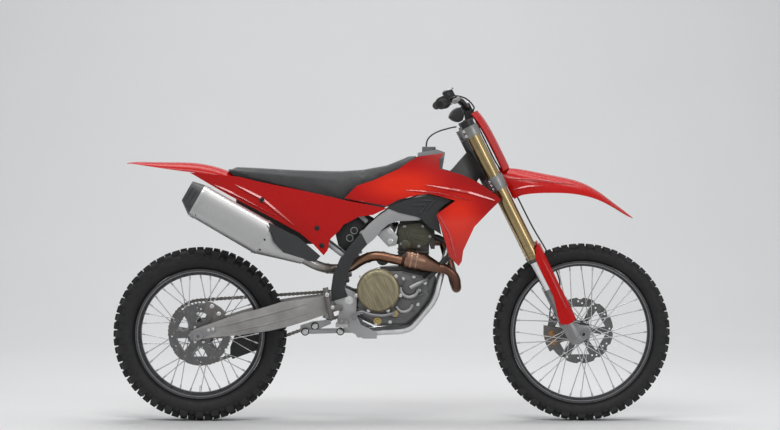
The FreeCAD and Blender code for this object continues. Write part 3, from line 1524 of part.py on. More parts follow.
def seat_edges():
    """Place, top, underside, half width and crown of each section of the seat."""
    start = size.wheelbase * 0.079
    length = size.wheelbase * 0.489
    depth = size.seat_height * 0.18
    level = size.seat_height * 0.969
    edges = []
    for place, top, low, width, crown in SEAT_STATIONS:
        edges.append((start + length * place, level + depth * top, level + depth * low,
                      size.seat_half_width * width, size.seat_half_width * crown))
    return edges


def seat():
    """The long seat: sections from the tail to the tank, with a soft crown."""
    sections = []
    for x, z_top, z_low, half, narrow in seat_edges():
        middle = z_low + (z_top - z_low) * 0.72
        corners = [
            spot(x, -half, z_low), spot(x, -half, middle), spot(x, -narrow, z_top), spot(x, narrow, z_top),
            spot(x, half, middle), spot(x, half, z_low),
        ]
        sections.append(Part.makePolygon(corners + corners[:1]))
    solid = Part.makeLoft(sections, True, True)
    keep("seat", shaped("Seat", solid))


TANK_SHARES = [
    (0.00, 0.00), (0.30, 0.02), (0.66, 0.26), (0.96, 0.62), (1.00, 0.95), (0.90, 1.00), (0.66, 0.94),
    (0.66, 0.70), (0.45, 0.55), (0.15, 0.34), (0.00, 0.26),
]


def tank_place():
    """The tank's place and length along the bike, and its lowest edge and height."""
    return (size.wheelbase * 0.433, size.wheelbase * 0.209, size.seat_height * 0.862,
            size.seat_height * 0.233)


def fuel_tank():
    """The tank between the spars, with its cap."""
    x, length, z, height = tank_place()
    outline = spread(TANK_SHARES, x, z, length, height)
    half = size.tank_half_width
    side = side_prism(outline, -half, half)
    front = front_prism([
        (-half, z - size.overrun), (-half, z + height * 0.3), (-half * 0.74, z + height * 0.9),
        (-half * 0.5, z + height * 1.05), (half * 0.5, z + height * 1.05), (half * 0.74, z + height * 0.9),
        (half, z + height * 0.3), (half, z - size.overrun),
    ], x - size.overrun, x + length + size.overrun)
    cap_x = x + length * 0.80
    cap = Part.makeCylinder(float(half) * 0.32, float(height) * 0.09, spot(cap_x, 0, z + height * 0.955))
    gap = size.seat_gap
    under = [(edge_x, z_low - gap) for edge_x, z_top, z_low, wide, narrow in seat_edges()]
    nose_x = under[-1][0] + gap
    under.append((nose_x, under[-1][1]))
    above = side_prism(under + [(nose_x, z + height * 2), (under[0][0], z + height * 2)], -half * 2,
                       half * 2)
    keep("fuel_tank", shaped("FuelTank", largest(merged([side.common(front), cap]).cut(above))))


def radiators():
    """A radiator on each side behind the fork, inside its shroud."""
    body = new_body("RadiatorBody")
    depth = size.radiator_depth
    lean = depth * 0.95
    low_x = size.spar_neck - depth * 0.15
    low_z = size.seat_height * 0.66
    high_z = size.seat_height * 0.885
    side_pad(body, "Core", [
        (low_x, low_z), (low_x + depth, low_z), (low_x + depth + lean, high_z), (low_x + lean, high_z),
    ], size.radiator_inner, size.radiator_outer)
    bracket_x = size.spar_neck + depth * 0.75
    side_pad(body, "Bracket", [
        (bracket_x, high_z - depth * 0.6), (bracket_x + depth * 0.5, high_z - depth * 0.6),
        (bracket_x + depth * 0.5, high_z + depth * 0.6), (bracket_x, high_z + depth * 0.6),
    ], size.neck_half_width - depth * 0.118, size.radiator_inner + depth * 0.2)
    keep("radiators", together("Radiators", [body, mirrored("RadiatorMirror", body)]))


def airbox_outline():
    """The airbox as seen from the side."""
    back = size.rear_wheel_radius
    level = size.seat_height
    return [
        (back * 0.97, level * 0.915), (back * 1.60, level * 0.872), (back * 1.74, level * 0.865),
        (back * 1.65, level * 0.79), (back * 1.38, level * 0.715), (back * 1.18, level * 0.715),
        (back * 0.97, level * 0.79),
    ]


def airbox():
    """The airbox under the seat, behind the shock absorber, with the inner fender over the tyre."""
    body = new_body("AirboxBody")
    half = size.rear_fender_half_width - size.subframe_tube_radius * 2 - size.seat_gap
    side_pad(body, "Box", airbox_outline(), -half, half)
    back = size.rear_wheel_radius
    level = size.seat_height
    slim = half - size.subframe_tube_radius
    side_pad(body, "InnerFender", [
        (back * 0.42, level * 0.898), (back * 1.20, level * 0.870), (back * 1.20, level * 0.73),
        (back * 0.94, level * 0.735), (back * 0.74, level * 0.785), (back * 0.42, level * 0.868),
    ], -slim, slim)
    keep("airbox", body)


def bowed_sheet(stations, wall):
    """A fender's skin from stations of place, centre height, half width and side drop."""
    skins = []
    for inward in (0, wall):
        rows = []
        for x, z, half, drop in stations:
            rows.append([spot(x, (half - inward) * across, z - drop * fall - inward * (1 - fall))
                         for across, fall in FENDER_SHARES])
        surface = Part.BSplineSurface()
        surface.interpolate(rows)
        skins.append(surface.toShape())
    outer, inner = skins
    faces = [outer, inner]
    for one, other in zip(outer.Edges, inner.Edges):
        faces.append(Part.makeRuledSurface(one, other))
    shell = Part.makeShell(faces)
    shell.sewShape()
    solid = Part.Solid(shell)
    if solid.Volume < 0:
        solid.reverse()
    return solid


FENDER_SHARES = [(-1.0, 1.0), (-0.88, 0.55), (-0.5, 0.12), (0.0, 0.0), (0.5, 0.12), (0.88, 0.55), (1.0, 1.0)]


def rear_fender():
    """The rear fender, a blade that widens towards the seat."""
    half = size.rear_fender_half_width
    level = size.seat_height
    unit = size.wheelbase
    drop = half * 0.5
    stations = [
        (-unit * 0.190, level * 1.041, half * 0.60, drop * 0.05),
        (-unit * 0.135, level * 1.044, half * 0.80, drop * 0.40),
        (-unit * 0.070, level * 1.043, half * 0.96, drop * 0.75),
        (-unit * 0.003, level * 1.038, half, drop * 0.95),
        (unit * 0.055, level * 1.018, half, drop * 0.80),
        (unit * 0.106, level * 0.990, half * 0.98, drop * 0.60),
    ]
    shell = bowed_sheet(stations, size.fender_wall)
    keep("rear_fender", shaped("RearFender", shell))
    return shell


# Controls on the frame

def footpegs():
    """A footpeg on each side with the bracket that holds it to the frame."""
    x = size.pivot_place - size.pivot_radius * 1.3
    z = size.pivot_height - size.pivot_radius * 4.5
    near = size.spar_outer + size.seat_gap
    body = new_body("FootpegBody")
    unit = size.pivot_radius
    side_pad(body, "Bracket", [
        (x - unit, z - unit * 0.7), (x + unit, z - unit * 0.7), (x + unit, z + unit * 0.5),
        (x - unit, z + unit * 0.5),
    ], near, near + unit)
    side_pad(body, "Peg", [
        (x - unit * 1.2, z - unit * 0.3), (x + unit * 1.2, z - unit * 0.3), (x + unit * 1.2, z + unit * 0.3),
        (x - unit * 1.2, z + unit * 0.3),
    ], near + unit * 0.4, near + unit * 6.2)
    keep("footpegs", together("Footpegs", [body, mirrored("FootpegMirror", body)]))


def foot_controls():
    """The brake pedal on the right and the gear lever on the left."""
    unit = size.pivot_radius
    px, pz = size.pivot_place, size.pivot_height
    arm = unit * 0.3
    near = size.spar_outer + size.seat_gap
    pedal_x, pedal_z = px + unit * 1.0, pz - unit * 3.2
    out = near + unit * 1.5
    boss = bar_between((pedal_x, -near, pedal_z), (pedal_x, -out - arm * 1.4, pedal_z), arm * 1.7)
    lever = tube([
        (pedal_x, -out, pedal_z), (pedal_x + unit * 1.1, -out, pedal_z + unit * 1.3),
        (pedal_x + unit * 3.3, -out - arm, pedal_z + unit * 0.5),
        (pedal_x + unit * 5.8, -out - arm, pedal_z + unit * 0.3),
        (pedal_x + unit * 7.6, -out - arm, pedal_z + unit * 0.8),
    ], arm)
    pad = bar_between((pedal_x + unit * 7.6, -out + unit * 0.5, pedal_z + unit * 0.8),
                      (pedal_x + unit * 7.6, -out - unit * 0.9, pedal_z + unit * 0.8), arm * 1.3)
    pedal = shaped("BrakePedal", merged([boss, lever, pad]))
    shaft_x, shaft_z = px + unit * 3.5, pz - unit * 3.25
    start = size.case_half_width + size.seat_gap
    out = size.left_cover_outer + size.ignition_cover_depth + arm * 1.5
    shaft = bar_between((shaft_x, start, shaft_z), (shaft_x, out, shaft_z), arm * 1.5)
    lever = tube([
        (shaft_x, out, shaft_z), (shaft_x + unit * 2.2, out, shaft_z - unit * 0.5),
        (shaft_x + unit * 5.2, out + arm, shaft_z - unit * 0.5), (shaft_x + unit * 7.0, out + arm, shaft_z),
    ], arm)
    toe = bar_between((shaft_x + unit * 7.0, out - arm, shaft_z),
                      (shaft_x + unit * 7.0, out + unit * 1.6, shaft_z),
                      arm * 1.3)
    keep("foot_controls", together("FootControls", [pedal, shaped("GearLever",
                                                                  merged([shaft, lever, toe]))]))


def brake_block(radius, line, thickness, low_angle, high_angle):
    """A brake caliper round the edge of a disc, as a block with a slot."""
    half = thickness / 2 + size.disc_slot_clearance
    near = radius * 0.74
    far = radius * 1.12
    points = []
    for angle in (low_angle, (low_angle * 2 + high_angle) / 3, (low_angle + high_angle * 2) / 3, high_angle):
        turn = math.radians(angle)
        points.append((far * math.cos(turn), far * math.sin(turn)))
    for angle in (high_angle, low_angle):
        turn = math.radians(angle)
        points.append((near * math.cos(turn), near * math.sin(turn)))
    block = side_prism(points, line - half * 3.4, line + half * 3.4)
    slot = bar_between((0, line - half, 0), (0, line + half, 0), radius + size.disc_slot_clearance)
    return block.cut(slot)


def rear_brake():
    """The rear caliper over its disc, and the master cylinder beside the frame."""
    shape = brake_block(size.rear_disc_radius, -size.rear_disc_line, size.rear_disc_thickness,
                        38, 78)
    half = (size.rear_disc_thickness / 2 + size.disc_slot_clearance) * 3.4
    unit = size.rear_disc_radius
    bracket = side_prism([
        (unit * 0.34, unit * 0.10), (unit * 0.66, unit * 0.18), (unit * 0.86, unit * 0.62),
        (unit * 0.52, unit * 0.80),
    ], size.seat_gap - size.arm_rear_inner, half * 0.8 - size.rear_disc_line)
    slot = bar_between((0, half - size.rear_disc_line, 0), (0, -half * 0.3 - size.rear_disc_line, 0),
                       unit + size.disc_slot_clearance)
    caliper = shaped("RearCaliper", merged([shape, bracket.cut(slot)]))
    move_to(caliper, 0, 0, size.rear_wheel_radius)
    radius = size.pivot_radius * 0.55
    y = -(size.spar_outer + size.seat_gap + size.plastic_wall + size.seat_gap + radius)
    px, pz = size.pivot_place, size.pivot_height
    pump = bar_between((px - size.pivot_radius * 3.3, y, pz - size.pivot_radius * 3.6),
                       (px - size.pivot_radius * 4.6, y, pz + size.pivot_radius * 2.5), radius)
    unit = size.pivot_radius
    bracket = side_prism([
        (px - unit * 4.4, pz - unit * 1.9), (px - unit * 1.4, pz - unit * 2.0),
        (px - unit * 1.3, pz - unit * 0.9),
        (px - unit * 4.4, pz - unit * 0.8),
    ], y, -size.spar_outer - size.seat_gap)
    keep("rear_brake", together("RearBrake", [caliper, shaped("RearMasterCylinder",
                                                              merged([pump, bracket]))]))


def chain_pins():
    """Where each pin of the chain lies, as place and height with the way outward."""
    rear_radius = float(pitch_radius(size.rear_sprocket_teeth))
    front_radius = float(pitch_radius(size.front_sprocket_teeth))
    rear = Vector(0, 0, float(size.rear_wheel_radius))
    front = Vector(float(size.front_sprocket_place), 0, float(size.front_sprocket_height))
    span = front - rear
    tilt = math.atan2(span.z, span.x)
    lean = math.acos((rear_radius - front_radius) / span.Length)
    run = math.sqrt(span.Length ** 2 - (rear_radius - front_radius) ** 2)
    front_arc = 2 * lean * front_radius
    rear_arc = (2 * math.pi - 2 * lean) * rear_radius
    whole = 2 * run + front_arc + rear_arc
    links = 2 * round(whole / float(size.chain_pitch) / 2)

    def on(centre, radius, angle):
        outward = Vector(math.cos(angle), 0, math.sin(angle))
        return centre + outward * radius, outward

    pins = []
    for number in range(links):
        way = whole * number / links
        if way < front_arc:
            pins.append(on(front, front_radius, tilt + lean - way / front_radius))
            continue
        way -= front_arc
        if way < run:
            start, outward = on(front, front_radius, tilt - lean)
            end, outward = on(rear, rear_radius, tilt - lean)
            pins.append((start + (end - start) * (way / run), outward))
            continue
        way -= run
        if way < rear_arc:
            pins.append(on(rear, rear_radius, tilt - lean - way / rear_radius))
            continue
        way -= rear_arc
        start, outward = on(rear, rear_radius, tilt + lean)
        end, outward = on(front, front_radius, tilt + lean)
        pins.append((start + (end - start) * (way / run), outward))
    return pins


CHAIN_WAIST_SHARE = 0.62


def chain():
    """The chain as one loop of links, waisted between its pins."""
    pins = chain_pins()
    half = float(size.chain_plate_height) / 2
    roller = float(size.chain_roller_radius)
    low = size.sprocket_line - size.chain_width / 2

    def edge(outer, inner):
        points = []
        for number, (place, outward) in enumerate(pins):
            after, out_after = pins[(number + 1) % len(pins)]
            middle = (place + after) / 2
            out_middle = (outward + out_after).normalize()
            points.append(place + outward * outer)
            points.append(middle + out_middle * inner)
        lifted = [p + Vector(0, float(low), 0) for p in points]
        return Part.Face(Part.makePolygon(lifted + lifted[:1])).extrude(spot(0, size.chain_width, 0))

    band = edge(half, half * CHAIN_WAIST_SHARE).cut(edge(-roller, -roller * 0.98))
    keep("chain", shaped("Chain", band))


def chain_guide():
    """The block under the swingarm that leads the lower run of the chain."""
    pins = chain_pins()
    lower = [place for place, outward in pins if outward.z < 0]
    unit = float(size.chain_pitch)
    start = min(lower, key=lambda place: abs(place.x - unit * 7.5))
    end = min(lower, key=lambda place: abs(place.x - unit * 14))
    near = size.sprocket_line - size.chain_width / 2 - size.disc_slot_clearance * 1.6
    far = size.sprocket_line + size.chain_width / 2 + size.disc_slot_clearance * 2
    top_z = size.rear_wheel_radius + unit * 0.5
    outline = [
        (start.x, start.z - unit), (end.x, end.z - unit), (end.x + unit, end.z),
        (end.x + unit, end.z + unit * 2),
        (end.x - unit * 0.5, top_z), (start.x + unit, top_z), (start.x - unit * 0.6, start.z + unit * 2),
        (start.x - unit * 0.6, start.z),
    ]
    block = side_prism(outline, near, far)
    slope = (end - start).normalize()
    up = Vector(-slope.z, 0, slope.x)
    room = unit * 0.62
    first = start - slope * unit * 4
    last = end + slope * unit * 4
    slot = side_prism([(p.x, p.z) for p in (first - up * room, last - up * room, last + up * room,
                                            first + up * room)],
                      near + size.disc_slot_clearance * 0.8, far - size.disc_slot_clearance * 0.8)
    lug_low = top_z - unit * 1.6
    bracket = side_prism([
        (start.x + unit * 1.4, lug_low), (end.x - unit * 0.9, lug_low),
        (end.x - unit * 0.7, top_z + unit * 0.9),
        (start.x + unit * 1.6, top_z + unit * 0.6),
    ], far - size.plastic_wall, size.arm_rear_inner - size.seat_gap)
    keep("chain_guide", shaped("ChainGuide", merged([block.cut(slot), bracket])))


HOSE_ROUTE = [
    # in the fork's own frame, as shares of the leg line: past the risers, behind the plate, down
    # the left leg, inward beside the spokes and back to the caliper
    (-0.34, -1.81, 10.02), (-0.06, -1.47, 9.83), (0.08, -1.10, 9.62), (0.15, -0.68, 9.40),
    (0.17, -0.28, 9.26),
    (0.15, 0.09, 9.25), (0.08, 0.40, 9.17), (0.03, 0.55, 8.92), (0.01, 0.59, 8.58), (0.00, 0.59, 8.20),
    (0.00, 0.60, 7.80), (-0.01, 0.66, 7.42), (0.00, 0.82, 7.05), (0.06, 0.99, 6.66), (0.13, 1.08, 6.20),
    (0.16, 1.12, 5.50), (0.15, 1.10, 4.80), (0.16, 1.08, 4.10), (0.22, 1.05, 3.40), (0.24, 1.02, 2.80),
    (0.22, 0.93, 2.32), (0.16, 0.76, 2.00), (0.06, 0.62, 1.80), (-0.15, 0.60, 1.66), (-0.40, 0.63, 1.48),
    (-0.64, 0.638, 1.23), (-0.81, 0.638, 0.92), (-0.973, 0.638, 0.686),
]

VENT_ROUTE = [
    # along the bike from above the tank's cap to the steering stem, as shares of the seat's height
    (0.9144, 0.0, 1.1237), (0.9216, 0.0062, 1.1392), (0.9351, 0.0144, 1.1526), (0.9546, 0.0206, 1.1639),
    (0.9773, 0.0206, 1.1727), (1.0021, 0.0134, 1.1794), (1.0206, 0.0052, 1.1840), (1.0354, 0.0, 1.1864),
]


def reservoir_outlet():
    """The middle of the brake reservoir's inner face."""
    route = bar_route()
    u, y, w = perch_place(route)
    ring = size.bar_radius * 1.7
    return (u + ring * 1.3, y + size.riser_width * 0.9 + size.seat_gap, w + ring * 0.95)


def cap_outlet():
    """The middle of the tank cap's top."""
    x, length, z, height = tank_place()
    return (x + length * 0.766, 0, z + height * 1.045 + size.seat_gap)


def hoses():
    """The front brake's hose down the left leg, and the vent hose from the tank's cap."""
    unit = size.leg_line
    start_u, start_y, start_w = reservoir_outlet()
    points = [(start_u, start_y, start_w), (start_u, start_y + unit * 0.22, start_w)]
    points += [(unit * u, unit * y, unit * w) for u, y, w in HOSE_ROUTE]
    keep_on_fork("brake_hose", shaped("BrakeHose", tube(points, size.hose_radius)))
    print_radii("brake_hose", points)
    level = size.seat_height
    points = [cap_outlet()] + [(level * x, level * y, level * z) for x, y, z in VENT_ROUTE]
    keep("vent_hose", shaped("VentHose", tube(points, size.vent_radius)))
    print_radii("vent_hose", points)


def print_radii(label, points):
    """Print a hose's length and the radius of each of its bends."""
    spots = [spot(*point) for point in points]
    runs = [(b - a).Length for a, b in zip(spots, spots[1:])]
    radii = []
    for a, b, c in zip(spots, spots[1:], spots[2:]):
        half_turn = (b - a).getAngle(c - b) / 2
        radii.append(round(BEND_SHARE * min((b - a).Length, (c - b).Length) / math.tan(half_turn)))
    print(f"{label}: route {sum(runs):.0f} mm, longest run {max(runs):.0f}, bend radii {radii}")


# Front fork and handlebar, drawn in the fork's own frame

def fork_legs():
    """The gold upper tubes, and the lower stanchions with the axle lugs."""
    back = -size.leg_offset
    tube_left = post("UpperTube", size.upper_tube_radius, size.upper_tube_low, size.upper_tube_top, back,
                     size.leg_line)
    cap = post("UpperCap", size.cap_radius, size.upper_tube_top - size.running_gap,
               size.upper_tube_top + size.cap_height, back, size.leg_line)
    left = fused("UpperLeg", [tube_left, cap])
    keep_on_fork("fork_tubes", together("UpperLegs", [left, mirrored("UpperLegMirror", left)]))
    low = size.leg_line - size.lug_half_width
    high = size.leg_line + size.lug_half_width
    leg = Part.makeCylinder(float(size.stanchion_radius), float(size.upper_tube_low - size.seat_gap),
                            spot(back, size.leg_line, 0))
    lug = side_prism(spread(LUG_SHARES, back - size.stanchion_radius * 1.06, -size.stanchion_radius * 1.1,
                            size.stanchion_radius * 4.1, size.stanchion_radius * 4.1), low, high)
    hole = bar_between((0, low - size.overrun, 0), (0, high + size.overrun, 0),
                       size.front_axle_radius + size.running_gap)
    lower = merged([leg, lug]).cut(hole)
    lower = lower.cut(side_prism([
        (back - size.overrun, -size.stanchion_radius * 3),
        (back + size.overrun * 3, -size.stanchion_radius * 3),
        (back + size.overrun * 3, -size.stanchion_radius * 1.1),
        (back - size.overrun, -size.stanchion_radius * 1.1),
    ], 0, high + size.overrun))
    keep_on_fork("fork_lowers", shaped("ForkLowers", Part.Compound(both_sides(lower))))


LUG_SHARES = [
    (0.00, 0.30), (0.06, 0.08), (0.28, 0.00), (0.80, 0.04), (1.00, 0.26), (0.97, 0.46), (0.70, 0.62),
    (0.45, 0.90), (0.00, 0.95),
]

FORK_GUARD_SHARES = [
    (1.00, 1.00), (0.97, 0.79), (0.93, 0.50), (0.93, 0.26), (0.91, 0.06), (0.70, 0.03), (0.34, 0.03),
    (0.00, 0.07), (0.06, 0.16), (0.16, 0.25), (0.33, 0.39), (0.33, 0.64), (0.36, 0.84), (0.63, 0.97),
]


def fork_guards():
    """A guard round the front and outside of each lower leg."""
    length = size.stanchion_radius * 2.92
    height = size.upper_tube_low * 0.99
    x = -size.leg_offset - size.stanchion_radius * 1.04
    z = size.lug_top * 0.85
    outline = spread(FORK_GUARD_SHARES, x, z, length, height)
    y = size.leg_line
    wall = size.guard_wall
    half = size.upper_tube_radius + size.seat_gap + wall
    front = x + length
    back = x - size.overrun

    def shell(inset):
        reach = half - inset
        nose = front - inset
        return plan_prism([
            (back - inset * 0, y - reach), (nose - half * 0.7, y - reach),
            (nose - half * 0.2, y - reach * 0.62),
            (nose, y), (nose - half * 0.2, y + reach * 0.62), (nose - half * 0.7, y + reach),
            (back, y + reach),
        ], z - size.overrun, z + height + size.overrun)

    hollow = shell(size.guard_wall * 0).cut(shell(wall))
    guard = hollow.common(side_prism(outline, y - half * 2, y + half * 2))
    lug = side_prism(spread(LUG_SHARES, -size.leg_offset - size.stanchion_radius * 1.06,
                            -size.stanchion_radius * 1.1,
                            size.stanchion_radius * 4.1, size.stanchion_radius * 4.1),
                     y - size.lug_half_width - size.seat_gap, y + size.lug_half_width + size.seat_gap)
    guard = guard.cut(lug)
    keep_on_fork("fork_guards", shaped("ForkGuards", Part.Compound(both_sides(guard))))


def clamp(name, low, high, stem_hole):
    """One triple clamp: a ring round each leg and a middle round the stem."""
    back = -size.leg_offset
    steering = back - size.clamp_offset
    ring = size.upper_tube_radius + size.clamp_wall
    parts = [
        post(f"{name}Right", ring, low, high, back, -size.leg_line),
        post(f"{name}Left", ring, low, high, back, size.leg_line),
        post(f"{name}Middle", size.head_tube_radius, low, high, steering, 0),
    ]
    web = doc.addObject("Part::Box", f"{name}Web")
    bind(web, "Length", ring * 1.5)
    bind(web, "Width", size.leg_line * 2)
    bind(web, "Height", high - low)
    move_to(web, back - ring * 0.85, -size.leg_line, low)
    solid = fused(f"{name}Solid", parts + [web])
    hole_radius = size.upper_tube_radius + size.seat_gap
    holes = [
        post(f"{name}RightHole", hole_radius, low - size.overrun, high + size.overrun, back, -size.leg_line),
        post(f"{name}LeftHole", hole_radius, low - size.overrun, high + size.overrun, back, size.leg_line),
    ]
    if stem_hole:
        holes.append(post(f"{name}StemHole", size.stem_radius + size.seat_gap, low - size.overrun,
                          high + size.overrun, steering, 0))
    return cut(f"{name}Bored", solid, fused(f"{name}Holes", holes))


def triple_clamps(fender):
    """Both triple clamps and the steering stem."""
    upper = clamp("TopClamp", size.top_clamp_low, size.top_clamp_high, True)
    lower = clamp("LowClamp", size.low_clamp_low, size.low_clamp_high, False)
    steering = -size.leg_offset - size.clamp_offset
    stem = post("Stem", size.stem_radius, size.low_clamp_high - size.running_gap,
                size.top_clamp_high + size.cap_height, steering, 0)
    wide = size.leg_offset * 0.75
    front = -size.leg_offset + size.upper_tube_radius * 0.7
    block = side_prism([
        (front, size.low_clamp_low), (front + wide * 1.5, size.low_clamp_low),
        (front + wide * 1.5, size.low_clamp_high * 1.02),
        (front, size.low_clamp_high),
    ], -wide, wide)
    gap = float(size.seat_gap)
    block = block.cut(fender.translated(Vector(-gap, 0, -gap)))
    foot = min(block.Solids, key=lambda solid: solid.BoundBox.ZMin)
    with_stem = fused("LowClampStem", [lower, stem, shaped("FenderMount", foot)])
    keep_on_fork("triple_clamps", together("TripleClamps", [upper, with_stem]))


def bar_route():
    """The right half of the handlebar's route, from the middle outward."""
    high = size.top_clamp_high + size.bar_height
    low = high - size.bar_rise
    u = -size.bar_place
    reach = size.bar_half_width
    return [
        (u, 0, low),
        (u, -reach * 0.17, low),
        (u - size.bar_pullback * 0.15, -reach * 0.34, low + size.bar_rise * 0.80),
        (u - size.bar_pullback * 0.60, -reach * 0.50, high),
        (u - size.bar_pullback, -reach, high),
    ]


def along(first, last, share):
    """The point at a share of the way between two others."""
    return tuple(a + (b - a) * share for a, b in zip(first, last))


def handlebar():
    """The handlebar, its risers on the top clamp, its pad and its grips."""
    route = bar_route()
    left_half = [(u, -y, w) for u, y, w in reversed(route[1:])]
    bar = tube(left_half + route[1:], size.bar_radius)
    low = size.top_clamp_high + size.seat_gap
    u, mid = -size.bar_place, size.top_clamp_high + size.bar_height - size.bar_rise
    ring = size.bar_radius * 1.8
    outline = [
        (u - ring * 1.9, low), (u - ring * 0.3, low), (u + ring * 0.8, mid - ring * 0.8),
        (u + ring * 0.8, mid + ring * 0.75), (u - ring, mid + ring * 0.75), (u - ring, mid - ring),
    ]
    start = size.riser_line - size.riser_width / 2
    riser = side_prism(outline, start, start + size.riser_width)
    hole = bar_between((u, 0, mid), (u, size.leg_line, mid), size.bar_radius + size.seat_gap)
    risers = shaped("BarRisers", Part.Compound(both_sides(riser.cut(hole))))
    pad = side_prism([
        (u - ring * 4.4, mid), (u - ring * 2.9, mid - ring * 1.95), (u - ring * 1.9, mid - ring * 1.95),
        (u - ring - size.seat_gap, mid - ring), (u - ring - size.seat_gap, mid + ring * 0.9),
        (u - ring * 2.7, mid + ring),
    ], -size.riser_line * 1.9, size.riser_line * 1.9)
    keep_on_fork("bar_pad", shaped("BarPad", pad))
    keep_on_fork("handlebar", together("HandlebarAndRisers", [shaped("Handlebar", bar), risers]))
    inner, end = spot(*route[3]), spot(*route[4])
    aim = end - inner
    turn = aim.normalize()
    start = end - turn * float(size.grip_length)
    sleeve = Part.makeCylinder(float(size.grip_radius), float(size.grip_length), start, turn)
    flange = Part.makeCylinder(float(size.grip_flange_radius), float(size.guard_wall), start, turn)
    hole = Part.makeCylinder(float(size.bar_radius + size.seat_gap), float(size.grip_length) * 1.2,
                             start - turn * (float(size.grip_length) * 0.1), turn)
    grip = sleeve.fuse(flange).cut(hole)
    keep_on_fork("grips", shaped("Grips", Part.Compound(both_sides(grip))))


def perch_place(route):
    """The middle of a lever's clamp, just inside the grip."""
    bend, end = spot(*route[3]), spot(*route[4])
    inward = size.grip_length + size.riser_width * 0.862
    return along(route[4], route[3], inward / (end - bend).Length)


def hand_controls():
    """The brake lever with its reservoir on the right, and the clutch lever on the left."""
    route = bar_route()
    seat_point = perch_place(route)
    start, end = spot(*route[3]), spot(*route[4])
    turn = (end - start).normalize()
    middle = spot(*seat_point)
    ring = size.bar_radius * 1.7
    width = float(size.riser_width)
    collar = Part.makeCylinder(float(ring), width, middle - turn * (width / 2), turn)
    reach = size.bar_radius * 5
    u, y, w = seat_point
    perch = tube([
        (u + size.bar_radius, y, w - size.bar_radius * 0.3),
        (u + reach * 0.7, y - width * 0.3, w - size.bar_radius * 0.6),
        (u + reach * 0.95, y - width * 1.3, w - size.bar_radius),
        (u + reach * 0.80, y - width * 3.4, w - size.bar_radius * 1.2),
        (u + reach * 0.55, y - width * 5.2, w - size.bar_radius * 1.3),
    ], size.bar_radius * 0.6)
    hole = Part.makeCylinder(float(size.bar_radius + size.seat_gap), width * 3,
                             middle - turn * (width * 1.5), turn)
    lever = collar.fuse(perch).cut(hole)
    left = lever.mirror(Vector(0, 0, 0), Vector(0, 1, 0))
    tank = side_prism([
        (u + ring * 0.2, w + ring * 0.2), (u + ring * 2.4, w + ring * 0.2), (u + ring * 2.4, w + ring * 1.7),
        (u + ring * 0.2, w + ring * 1.9),
    ], y - width * 0.7, y + width * 0.9).cut(hole)
    brake = merged([lever, tank])
    keep_on_fork("hand_controls", shaped("HandControls", Part.Compound([brake, left])))


def number_plate():
    """The front plate, bowed round the fork."""
    half = size.plate_half_width
    low = size.low_clamp_high
    high = size.top_clamp_high + size.overrun
    tall = high - low
    nose = size.leg_offset * 1.05
    rows = []
    for up, forward, width in ((0.0, 0.95, 0.72), (0.25, 1.0, 0.86), (0.55, 1.0, 1.0),
                               (0.80, 0.90, 0.96), (1.0, 0.62, 0.80)):
        row = []
        for across in (-1, -0.5, 0, 0.5, 1):
            row.append((nose * forward - nose * 0.72 * across * across, half * width * across,
                        low + tall * up))
        rows.append(row)
    skin = sheet_through(rows, (-size.plastic_wall, 0, 0))
    behind = sheet_through(rows, (-size.wheelbase * 0.1, 0, 0))
    middle = (size.top_clamp_low + size.top_clamp_high) / 2
    web_front = size.upper_tube_radius + size.clamp_wall
    back = -size.leg_offset + web_front * 0.65 + size.seat_gap
    posts = [bar_between((back, y, middle), (nose * 2, y, middle), size.clamp_wall).common(behind)
             for y in (-size.riser_line, size.riser_line)]
    keep_on_fork("number_plate", shaped("NumberPlate", merged([skin] + posts)))


def front_fender():
    """The front fender: deep at the fork, thinning to a low tip ahead."""
    half = size.front_fender_half_width
    unit = size.front_wheel_radius
    stations = [
        (-unit * 0.010, unit * 2.085, half * 0.80, unit * 0.40),
        (unit * 0.140, unit * 1.995, half * 0.95, unit * 0.32),
        (unit * 0.370, unit * 1.827, half * 1.02, unit * 0.25),
        (unit * 0.600, unit * 1.650, half * 1.00, unit * 0.20),
        (unit * 0.755, unit * 1.510, half * 0.94, unit * 0.18),
        (unit * 0.880, unit * 1.337, half * 0.84, unit * 0.14),
        (unit * 0.975, unit * 1.150, half * 0.66, unit * 0.09),
        (unit * 1.090, unit * 0.910, half * 0.40, unit * 0.02),
    ]
    shell = bowed_sheet(stations, size.fender_wall)
    keep_on_fork("front_fender", shaped("FrontFender", shell))
    return shell


def front_caliper():
    """The front caliper behind the left leg."""
    shape = brake_block(size.front_disc_radius, size.front_disc_line,
                        size.front_disc_thickness, 145, 188)
    half = (size.front_disc_thickness / 2 + size.disc_slot_clearance) * 3.4
    unit = size.front_disc_radius
    bracket = side_prism([
        (-unit * 0.98, -unit * 0.05), (-unit * 0.42, -unit * 0.10), (-unit * 0.42, unit * 0.33),
        (-unit * 0.90, unit * 0.42),
    ], size.front_disc_line + half * 0.8, size.leg_line - size.lug_half_width - size.seat_gap)
    keep_on_fork("front_caliper", shaped("FrontCaliper", merged([shape, bracket])))


def build():
    """Make every sub-part."""
    wheels()
    axles()
    frame = main_frame()
    frame_cradle(frame)
    subframe(rear_fender())
    swingarm()
    frame_guards()
    rear_suspension()
    engine_cases()
    engine_covers()
    engine_cylinder()
    pipe_end = header_pipe()
    can = silencer(pipe_end)
    silencer_shield(can)
    side_panels()
    tank_shrouds()
    shroud_inserts()
    seat()
    fuel_tank()
    radiators()
    airbox()
    intake_duct()
    footpegs()
    foot_controls()
    rear_brake()
    chain()
    fork_legs()
    fork_guards()
    triple_clamps(front_fender())
    handlebar()
    hand_controls()
    number_plate()
    front_caliper()
    chain_guide()
    hoses()


